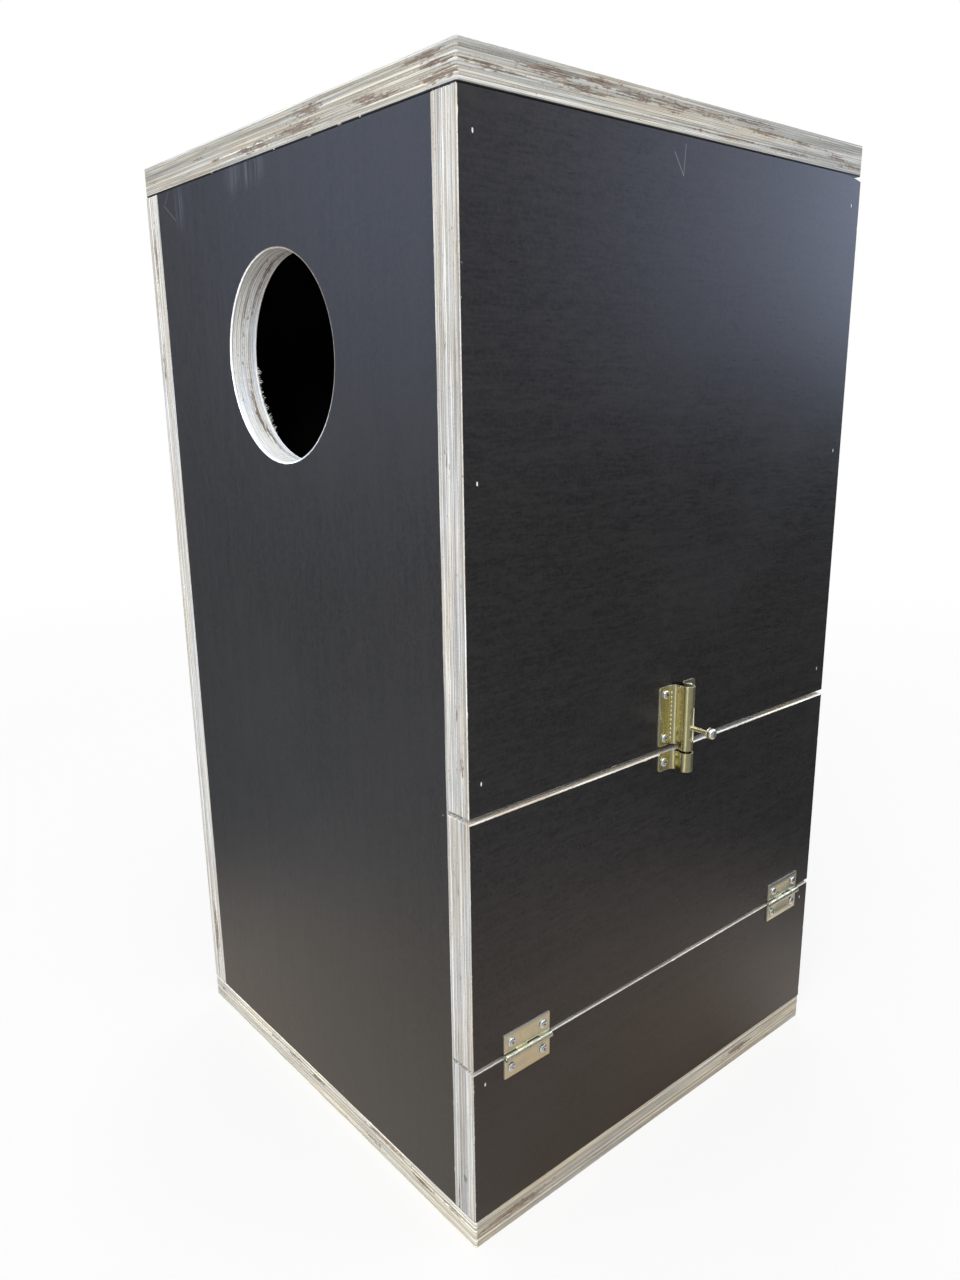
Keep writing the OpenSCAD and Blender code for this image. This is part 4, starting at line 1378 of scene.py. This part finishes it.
def rung_tree():
    """A planed bar with rounded edges on every point"""
    tree, graph, out = geometry_tree("Climbing rungs", {
        "Length": 160.0 * MM, "Height": 18.0 * MM, "Depth": 14.0 * MM, "Rounding": 3.0 * MM,
        "Wander": 0.3 * MM, "Seed": 4})
    inputs = {0: out["Height"], 1: out["Depth"]}
    shape = graph.add("GeometryNodeCurvePrimitiveQuadrilateral", inputs).outputs[0]
    inputs = {"Curve": shape, "Radius": out["Rounding"], "Count": 5, "Limit Radius": True}
    shape = graph.add("GeometryNodeFilletCurve", inputs, mode="POLY").outputs[0]
    half = graph.times(out["Length"], 0.5)
    ends = {"Start": graph.join(graph.times(half, -1.0), 0.0, 0.0), "End": graph.join(half, 0.0, 0.0)}
    line = graph.add("GeometryNodeCurvePrimitiveLine", ends).outputs[0]
    line = graph.add("GeometryNodeResampleCurve", {"Curve": line, "Count": 41}).outputs[0]
    inputs = {"Curve": line, "Profile Curve": shape, "Fill Caps": True}
    bar = graph.add("GeometryNodeCurveToMesh", inputs).outputs[0]
    real = graph.add("GeometryNodeRealizeInstances", {0: on_points(graph, out, bar)}).outputs[0]
    place = graph.add("GeometryNodeInputPosition").outputs[0]
    shift = graph.times(out["Seed"], 1.7)
    stretched = graph.vector("MULTIPLY", place, (25.0, 60.0, 60.0))
    spot = graph.vector("ADD", stretched, graph.join(shift, shift, shift))
    lump = graph.times(graph.minus(graph.grain(spot, 1.0, 2.0), 0.62), out["Wander"])
    move = graph.scaled(graph.add("GeometryNodeInputNormal").outputs[0], lump)
    real = graph.add("GeometryNodeSetPosition", {"Geometry": real, "Offset": move}).outputs[0]
    end_tree(graph, out, real)
    return tree


def fibre_tree():
    """A thin bent fibre on every point, leaning the point's own way with some spread"""
    tree, graph, out = geometry_tree("Frayed fibres", {
        "Length": 2.2 * MM, "Thickness": 0.12 * MM, "Spread": 0.7, "Seed": 7})
    curve = graph.add("GeometryNodeCurveQuadraticBezier", {
        "Resolution": 4, "Start": (0, 0, 0), "Middle": (0, 0, 0.55), "End": (0.4, 0, 0.9)}).outputs[0]
    step = graph.add("GeometryNodeSplineParameter").outputs["Factor"]
    taper = graph.minus(1.0, graph.times(step, 0.75))
    curve = graph.add("GeometryNodeSetCurveRadius", {"Curve": curve, "Radius": taper}).outputs[0]
    thin = graph.over(out["Thickness"], graph.times(out["Length"], 2.0))
    ring = graph.add("GeometryNodeCurvePrimitiveCircle", {"Resolution": 3, "Radius": thin}).outputs[0]
    fibre = graph.add("GeometryNodeCurveToMesh", {
        "Curve": curve, "Profile Curve": ring, "Fill Caps": True, "Scale": taper}).outputs[0]
    jitter = graph.add("FunctionNodeRandomValue", {
        0: (-1.0, -1.0, -1.0), 1: (1.0, 1.0, 1.0), "Seed": out["Seed"]}, data_type="FLOAT_VECTOR").outputs[0]
    lean = graph.vector("ADD", turn_attribute(graph), graph.scaled(jitter, out["Spread"]))
    aim = graph.add("FunctionNodeAlignRotationToVector", {"Vector": lean}, axis="Z").outputs[0]
    ranges = {2: 0.25, 3: 1.0, "Seed": graph.plus(out["Seed"], 1.0)}
    size = graph.add("FunctionNodeRandomValue", ranges, data_type="FLOAT").outputs[1]
    end_tree(graph, out, on_points(graph, out, fibre, Rotation=aim, Scale=graph.times(size, out["Length"])))
    return tree


def bead_tree():
    """A low oval bead pressed up from the sheet on every point, along the point's X"""
    tree, graph, out = geometry_tree("Pressed beads", {
        "Width": 1.1 * MM, "Length": 1.9 * MM, "Height": 0.3 * MM})
    ball = graph.add("GeometryNodeMeshUVSphere", {"Segments": 16, "Rings": 10, "Radius": 0.5}).outputs[0]
    size = graph.join(graph.times(out["Height"], 2.0), out["Width"], out["Length"])
    end_tree(graph, out, on_points(graph, out, moved(graph, ball, Scale=size)))
    return tree


def fibre_row(start, end, lean, count, seed):
    """(place, lean) of fibres at uneven steps from start to end, in tufts"""
    fibres = []
    for i in range(count):
        share = (i + 0.5 + 0.45 * wave(i * 1.37, seed, 0.5)) / count
        if wave(share * 9.0, seed, 2.5) > -0.12:
            fibres.append((start.lerp(end, share), lean))
    return fibres


def board_fibres(node, seed):
    """Fibres round the front edge of one board of the right side: its inner and outer corner, foot and top"""
    low, high = corners_of(node)
    front = low.y + 0.35 * MM
    inner, outer = low.x + 0.4 * MM, high.x - 0.5 * MM
    foot, top = low.z + 0.3 * MM, high.z - 0.3 * MM
    close, sparse = int((high.z - low.z) / (2.2 * MM)), int((high.z - low.z) / (3.5 * MM))
    rows = (((inner, low.z), (inner, high.z), (-0.9, 0.3, -0.35), close, seed),
            ((outer, low.z), (outer, high.z), (0.2, 0.3, -0.9), sparse, seed + 10),
            ((inner, foot), (outer, foot), (0.0, 0.2, -1.0), 34, seed + 20),
            ((inner, top), (outer, top), (0.1, 0.3, 0.8), 34, seed + 30))
    fibres = []
    for start, end, *rest in rows:
        fibres += fibre_row(*(Vector((x, front, z)) for x, z in (start, end)), *rest)
    return fibres


def hole_fibres():
    """Fibres at the inner end of the entrance, at its lower left"""
    hole, radius = entrance()
    back = corners_of("front_panel")[1].y
    fibres = []
    for i in range(80):
        turn = math.radians(184 + 46 * i / 80)
        way = Vector((math.cos(turn), 0, math.sin(turn)))
        spot = Vector(hole) + (radius - 0.1 * MM) * way
        spot.y = back - (0.4 + 1.2 * abs(wave(i * 2.7, 1.0, 4.0))) * MM
        if wave(i * 0.31, 3.0, 8.0) > -0.3:
            fibres.append((spot, tuple(-way + Vector((0, 0.1, 0.5)))))
    return fibres


class NESTBOX_OT_lids(bpy.types.Operator):
    """Make the roof and the floor, with their bare ply edges all round"""
    bl_idname = "nestbox.lids"
    bl_label = "Roof and floor"

    def execute(self, context):
        for node in ("roof_panel", "floor_panel"):
            make_board(node)
        return {"FINISHED"}


class NESTBOX_OT_ends(bpy.types.Operator):
    """Make the front board with its entrance, and the back board"""
    bl_idname = "nestbox.ends"
    bl_label = "Front and back"

    def execute(self, context):
        for node in ("front_panel", "back_panel"):
            make_board(node)
        return {"FINISHED"}


class NESTBOX_OT_sides(bpy.types.Operator):
    """Make the left side and the two fixed boards of the right side"""
    bl_idname = "nestbox.sides"
    bl_label = "Sides"

    def execute(self, context):
        for node in ("left_side_panel", "right_upper_panel", "right_lower_panel"):
            make_board(node)
        return {"FINISHED"}


class NESTBOX_OT_door(bpy.types.Operator):
    """Make the drop-down inspection door"""
    bl_idname = "nestbox.door"
    bl_label = "Inspection door"

    def execute(self, context):
        make_board("inspection_door")
        return {"FINISHED"}


class NESTBOX_OT_hinges(bpy.types.Operator):
    """Make the leaves of both hinges"""
    bl_idname = "nestbox.hinges"
    bl_label = "Hinges"

    def execute(self, context):
        for end in ("front", "rear"):
            leaf_piece(end + "_hinge_fixed_leaf", end + "_hinge_lower_leaf", "box", 0, -1)
            leaf_piece(end + "_hinge_door_leaf", end + "_hinge_upper_leaf", "door", 1, 1)
            refinish(end + "_hinge_pin", "Bright zinc")
        return {"FINISHED"}


class NESTBOX_OT_bolt_case(bpy.types.Operator):
    """Make the bolt's rolled barrel with its slot and pressed beads, and its keeper on the door"""
    bl_idname = "nestbox.bolt_case"
    bl_label = "Bolt barrel and keeper"

    def execute(self, context):
        knob_low, knob_high = corners_of("bolt_knob")
        knob_z = (knob_low.z + knob_high.z) / 2
        slide = next(j for j in frame["record"]["behaviour"]["joints"] if j["name"] == "bolt_slide")
        low, high = corners_of("bolt_body")
        slot = [knob_z + reach for reach in slide["range_m"]]
        rolled_piece("bolt_body", "box", "bolt_barrel", low.z + BARREL_DROP, slot)
        rolled_piece("keeper", "door", "keeper_loop", corners_of("keeper")[0].z)
        axis_y = (low.y + high.y) / 2
        # The beads take the pale cut-edge finish, a painted highlight that shows them as light dots
        spots = [(low.x + 0.9 * MM, axis_y - BEAD_ASIDE * MM, high.z - (BEAD_START + BEAD_PITCH * i) * MM)
                 for i in range(BEADS)]
        beads = grow(points_piece("bolt_plate_beads", spots), bead_tree(), "Cut bolt edge", 60,
                     width=1.15 * MM, length=1.9 * MM, height=0.35 * MM)
        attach(beads, "box")
        return {"FINISHED"}


class NESTBOX_OT_bolt_rod(bpy.types.Operator):
    """Turn the bolt's rod and the knob that moves it"""
    bl_idname = "nestbox.bolt_rod"
    bl_label = "Bolt rod and knob"

    def execute(self, context):
        low, high = corners_of("bolt_rod")
        centre = (low + high) / 2
        r, length = (high.y - low.y) / 2, high.z - low.z
        bevel = 0.8 * MM
        ends = [(0.0, 0.0), (0.0, r - bevel), (0.3 * bevel, r - 0.35 * bevel), (bevel, r)]
        groove = [(length - 4.6 * MM, r), (length - 4.4 * MM, r - 0.06 * MM), (length - 4.2 * MM, r)]
        tops = [(length - 0.6 * MM, r), (length - 0.2 * MM, r - 0.2 * MM), (length, r - 0.7 * MM)]
        foot = (centre.x, centre.y, low.z)
        profile = ends + groove + tops + [(length, 0.0)]
        rod = turned("bolt_rod_turned", profile, foot, Z, "Yellow bolt plate")
        place_piece(rod, "bolt", ["bolt_rod"])

        low, high = corners_of("bolt_knob")
        middle = (low + high) / 2
        knob_r, ball, step = (high.y - low.y) / 2, 6.0 * MM, 3.3 * MM
        total = high.x - low.x
        neck = high.x - ball - low.x
        profile = [(0.0, 0.0), (0.0, 1.3 * MM), (neck - 11.6 * MM, 1.3 * MM), (neck - 11.4 * MM, 1.6 * MM),
                   (neck - 0.2 * MM, 1.3 * MM), (neck + 0.1 * MM, 1.4 * MM)]
        profile += [(neck + along * MM, share * knob_r) for along, share in
                    ((0.5, 0.55), (1.0, 0.78), (1.5, 0.91), (2.0, 0.98), (2.2, 0.94), (2.4, 0.99))]
        profile += [(neck + step + (ball - step) * math.sin(t), knob_r * math.cos(t) ** 0.55)
                    for t in (math.radians(a) for a in (0, 15, 30, 45, 60, 72, 81, 86))]
        profile += [(total, 0.0)]
        foot = (low.x, middle.y, middle.z)
        # The knob's brass is much paler than the rod's, partly its own polish and partly a painted highlight
        knob = turned("bolt_knob_turned", profile, foot, X, "Turned bolt metal")
        place_piece(knob, "bolt", ["bolt_knob"])
        return {"FINISHED"}


class NESTBOX_OT_screws(bpy.types.Operator):
    """Drive the cross-recess screws of the hinges, the bolt, the keeper and the rungs"""
    bl_idname = "nestbox.screws"
    bl_label = "Screws"

    def execute(self, context):
        for node, body, facing in (("hinge_fixed_screws", "box", X), ("hinge_door_screws", "door", X),
                                   ("bolt_body_screws", "box", X), ("keeper_screws", "door", X),
                                   ("rung_screws", "box", Y)):
            screw_group(node, body, facing)
        return {"FINISHED"}


class NESTBOX_OT_brads(bpy.types.Operator):
    """Finish the brads, whose heads show as small bright slits in the film"""
    bl_idname = "nestbox.brads"
    bl_label = "Brads"

    def execute(self, context):
        for node in BRADS:
            refinish(node, "Galvanised brads")
        return {"FINISHED"}


class NESTBOX_OT_rungs(bpy.types.Operator):
    """Lay the climbing rungs inside, under the entrance"""
    bl_idname = "nestbox.rungs"
    bl_label = "Climbing rungs"

    def execute(self, context):
        nodes = sorted(name for name in frame["nodes"] if name.startswith("rung_") and name != "rung_screws")
        boxes = [corners_of(node) for node in nodes]
        spans = boxes[0][1] - boxes[0][0]
        points = points_piece("rungs", [(low + high) / 2 for low, high in boxes])
        rungs = grow(points, rung_tree(), "Planed beech", 40, length=spans.x, height=spans.z, depth=spans.y,
                     rounding=3.0 * MM, wander=0.5 * MM, seed=4)
        place_piece(rungs, "box", nodes)
        return {"FINISHED"}


class NESTBOX_OT_fibres(bpy.types.Operator):
    """Grow the frayed fibres along the sawn edges"""
    bl_idname = "nestbox.fibres"
    bl_label = "Frayed fibres"

    def execute(self, context):
        sets = {name: [] for name in FIBRES}
        for node, seed in (("right_upper_panel", 1), ("inspection_door", 2), ("right_lower_panel", 3)):
            sets[BOARDS[node][0]] += board_fibres(node, seed)
        sets["hole"] = hole_fibres()
        tree = fibre_tree()
        for name, fibres in sets.items():
            length, thickness, spread = FIBRES[name]
            piece = points_piece("frayed_fibres_" + name, *zip(*fibres))
            grow(piece, tree, "Loose fibres", None, length=length * MM, thickness=thickness * MM,
                 spread=spread, seed=7)
            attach(piece, "door" if name == "door" else "box")
        return {"FINISHED"}


def world_background(stage):
    """Even room light; the camera and reflections see white"""
    world = bpy.data.worlds.new("Studio")
    bpy.context.scene.world = world
    world.use_nodes = True
    world.node_tree.nodes.clear()
    graph = Graph(world.node_tree)
    room = graph.add("ShaderNodeBackground", {"Color": (0.93, 0.96, 1.0, 1.0), "Strength": stage.sky})
    white = graph.add("ShaderNodeBackground", {"Color": WHITE, "Strength": 1.0})
    inputs = {0: graph.seen_directly(), 1: room.outputs[0], 2: white.outputs[0]}
    both = graph.add("ShaderNodeMixShader", inputs)
    graph.add("ShaderNodeOutputWorld", {0: both.outputs[0]})


def floor_material(stage):
    """Pale grey that shows nearly white, more so farther out, and keeps the box's shadow"""
    material, graph, shader = new_material("Studio floor")
    place = graph.place()
    tone = graph.grain(place, 3.0, 3.0, 0.5)
    colour = graph.blend(tone, rgba(stage.floor, 0.99), rgba(stage.floor, 1.01))
    graph.set(shader, {"Base Color": colour, "Roughness": 0.9, "Specular IOR Level": 0.1})
    white = graph.add("ShaderNodeEmission", {"Color": WHITE, "Strength": 1.0})
    away = graph.measure("LENGTH", place)
    share = graph.times(graph.seen_directly(), graph.span(away, 0.6, 2.2, stage.floor_white, 1.0))
    both = graph.add("ShaderNodeMixShader", {0: share, 1: shader.outputs[0], 2: white.outputs[0]})
    graph.set(graph.tree.nodes["Material Output"], {0: both.outputs[0]})
    return material


def studio_floor(stage):
    """A wide pale floor"""
    size = 9.0
    mesh = bpy.data.meshes.new("Studio floor")
    corners = [(-size, -size, 0), (size, -size, 0), (size, size, 0), (-size, size, 0)]
    mesh.from_pydata(corners, [], [(0, 1, 2, 3)])
    mesh.materials.append(floor_material(stage))
    add_object("Studio floor", mesh)


def softbox(name, place, size, power, colour, mirrored):
    """A rectangular area lamp turned to the box, with its own reflection or without"""
    lamp = bpy.data.lights.new(name, "AREA")
    lamp.shape = "RECTANGLE"
    lamp.size, lamp.size_y = size
    lamp.energy = power
    lamp.color = colour
    holder = add_object(name, lamp)
    holder.location = place
    holder.rotation_euler = (Vector(LAMPS_AIM) - Vector(place)).to_track_quat("-Z", "Y").to_euler()
    holder.visible_glossy = mirrored


def wall_material():
    """Glowing soft greys by azimuth with bluish windows, and a warm glow on the floor close to the box:
    painted reflections
    """
    grey = bpy.data.materials.new("Reflection wall")
    grey.use_nodes = True
    grey.node_tree.nodes.clear()
    graph = Graph(grey.node_tree)
    x, y, height = graph.add("ShaderNodeSeparateXYZ", {0: graph.place()}).outputs
    azimuth = graph.math("DEGREES", graph.math("ARCTAN2", y, x))
    radius = graph.math("SQRT", graph.plus(graph.times(x, x), graph.times(y, y)))
    ramp = graph.add("ShaderNodeValToRGB", {0: graph.over(graph.plus(azimuth, 180.0), 360.0)})
    stops = ramp.color_ramp.elements
    while len(stops) < len(WALL_GREYS):
        stops.new(0.5)
    for stop, (degrees, level) in zip(stops, WALL_GREYS):
        stop.position = (degrees + 180.0) / 360.0
        stop.color = rgba((level, 1.07 * level, 1.18 * level))
    wall = ramp.outputs[0]
    for start, full, end, gone, low, high, colour in WALL_WINDOWS:
        share = graph.times(graph.span(azimuth, start, full), graph.span(azimuth, end, gone, 1.0, 0.0),
                            graph.span(height, low, high))
        wall = graph.blend(share, wall, rgba(colour), "ADD")
    warm = graph.blend(graph.span(radius, 0.17, 0.27), rgba(WARM_NEAR), rgba(WARM_FAR))
    warm = graph.blend(graph.span(azimuth, -28.0, -60.0), warm, rgba(WARM_LEFT))
    warm = graph.blend(graph.span(azimuth, 26.0, 52.0), warm, rgba(WARM_RIGHT))
    colour = graph.blend(graph.span(radius, 0.25, 0.55), warm, wall)
    shown = graph.times(graph.span(radius, 0.26, 0.50, 0.9, 1.0), graph.span(height, 0.9, 1.04, 1.0, 0.0))
    glow = graph.add("ShaderNodeEmission", {"Color": colour, "Strength": 1.0})
    clear = graph.add("ShaderNodeBsdfTransparent")
    both = graph.add("ShaderNodeMixShader", {0: shown, 1: clear.outputs[0], 2: glow.outputs[0]})
    graph.add("ShaderNodeOutputMaterial", {0: both.outputs[0]})
    return grey


def reflection_wall():
    """A curved glowing wall round the box that shows only in reflections: painted reflections that stand in
    for the black and grey cards of a studio"""
    count = 64
    points = [(radius * math.cos(turn), radius * math.sin(turn), height)
              for radius, height in WALL_PROFILE for turn in round_the_compass(count)]
    faces = []
    for k in range(len(WALL_PROFILE) - 1):
        for i in range(count):
            j = (i + 1) % count
            faces.append((k * count + i, k * count + j, (k + 1) * count + j, (k + 1) * count + i))
    mesh = bpy.data.meshes.new("Reflection wall")
    mesh.from_pydata(points, [], faces)
    mesh.materials.append(wall_material())
    card = add_object("Reflection wall", mesh)
    for ray in ("camera", "diffuse", "shadow", "transmission", "volume_scatter"):
        setattr(card, "visible_" + ray, False)


def photo_camera():
    """The camera that was solved from the box's corners in the photograph"""
    camera = bpy.data.cameras.new("Photo camera")
    camera.sensor_width = SENSOR_MM
    camera.lens = CAMERA_FOCAL_PX / max(PHOTO_W, PHOTO_H) * SENSOR_MM
    camera.clip_start = 0.01
    holder = add_object("Photo camera", camera)
    back = -Vector(CAMERA_AHEAD).normalized()
    right = Vector(CAMERA_RIGHT).normalized()
    up = back.cross(right).normalized()
    right = up.cross(back)
    turn = Matrix((right, up, back)).transposed()
    holder.matrix_world = Matrix.Translation(CAMERA_PLACE) @ turn.to_4x4()
    bpy.context.scene.camera = holder


class NESTBOX_OT_stage(bpy.types.Operator):
    """Set the floor, the soft light and the camera of the photograph"""
    bl_idname = "nestbox.stage"
    bl_label = "Floor, light and camera"

    def execute(self, context):
        stage = context.scene.nestbox_stage
        context.scene.view_settings.view_transform = "Standard"
        world_background(stage)
        studio_floor(stage)
        for name, place, size, power, colour, mirrored in SOFTBOXES:
            softbox(name, place, size, getattr(stage, power), colour, mirrored)
        reflection_wall()
        photo_camera()
        return {"FINISHED"}


class NESTBOX_PT_panel(bpy.types.Panel):
    """Lists the pieces of the nest box and their sizes"""
    bl_label = "Parrot nest box"
    bl_idname = "NESTBOX_PT_panel"
    bl_space_type = "VIEW_3D"
    bl_region_type = "UI"
    bl_category = "Nest Box"

    def draw(self, context):
        for operator in OPERATORS:
            self.layout.operator(operator.bl_idname)
        for title, group in (("Boards", context.scene.nestbox_boards),
                             ("Hardware", context.scene.nestbox_hardware),
                             ("Stage", context.scene.nestbox_stage)):
            box = self.layout.box()
            box.label(text=title)
            for key in group.bl_rna.properties.keys():
                if key not in {"rna_type", "name"}:
                    box.prop(group, key)


OPERATORS = (
    NESTBOX_OT_lids,
    NESTBOX_OT_ends,
    NESTBOX_OT_sides,
    NESTBOX_OT_door,
    NESTBOX_OT_rungs,
    NESTBOX_OT_hinges,
    NESTBOX_OT_bolt_case,
    NESTBOX_OT_bolt_rod,
    NESTBOX_OT_screws,
    NESTBOX_OT_brads,
    NESTBOX_OT_fibres,
    NESTBOX_OT_stage,
)
GROUPS = {
    "nestbox_boards": NESTBOX_PG_boards,
    "nestbox_hardware": NESTBOX_PG_hardware,
    "nestbox_stage": NESTBOX_PG_stage,
}
CLASSES = tuple(GROUPS.values()) + OPERATORS + (NESTBOX_PT_panel,)


def register():
    for cls in CLASSES:
        bpy.utils.register_class(cls)
    for name, group in GROUPS.items():
        setattr(bpy.types.Scene, name, PointerProperty(type=group))


def unregister():
    for name in GROUPS:
        delattr(bpy.types.Scene, name)
    for cls in reversed(CLASSES):
        bpy.utils.unregister_class(cls)


def main():
    register()
    for operator in OPERATORS:
        group, name = operator.bl_idname.split(".")
        getattr(getattr(bpy.ops, group), name)()


if __name__ == "__main__":
    main()
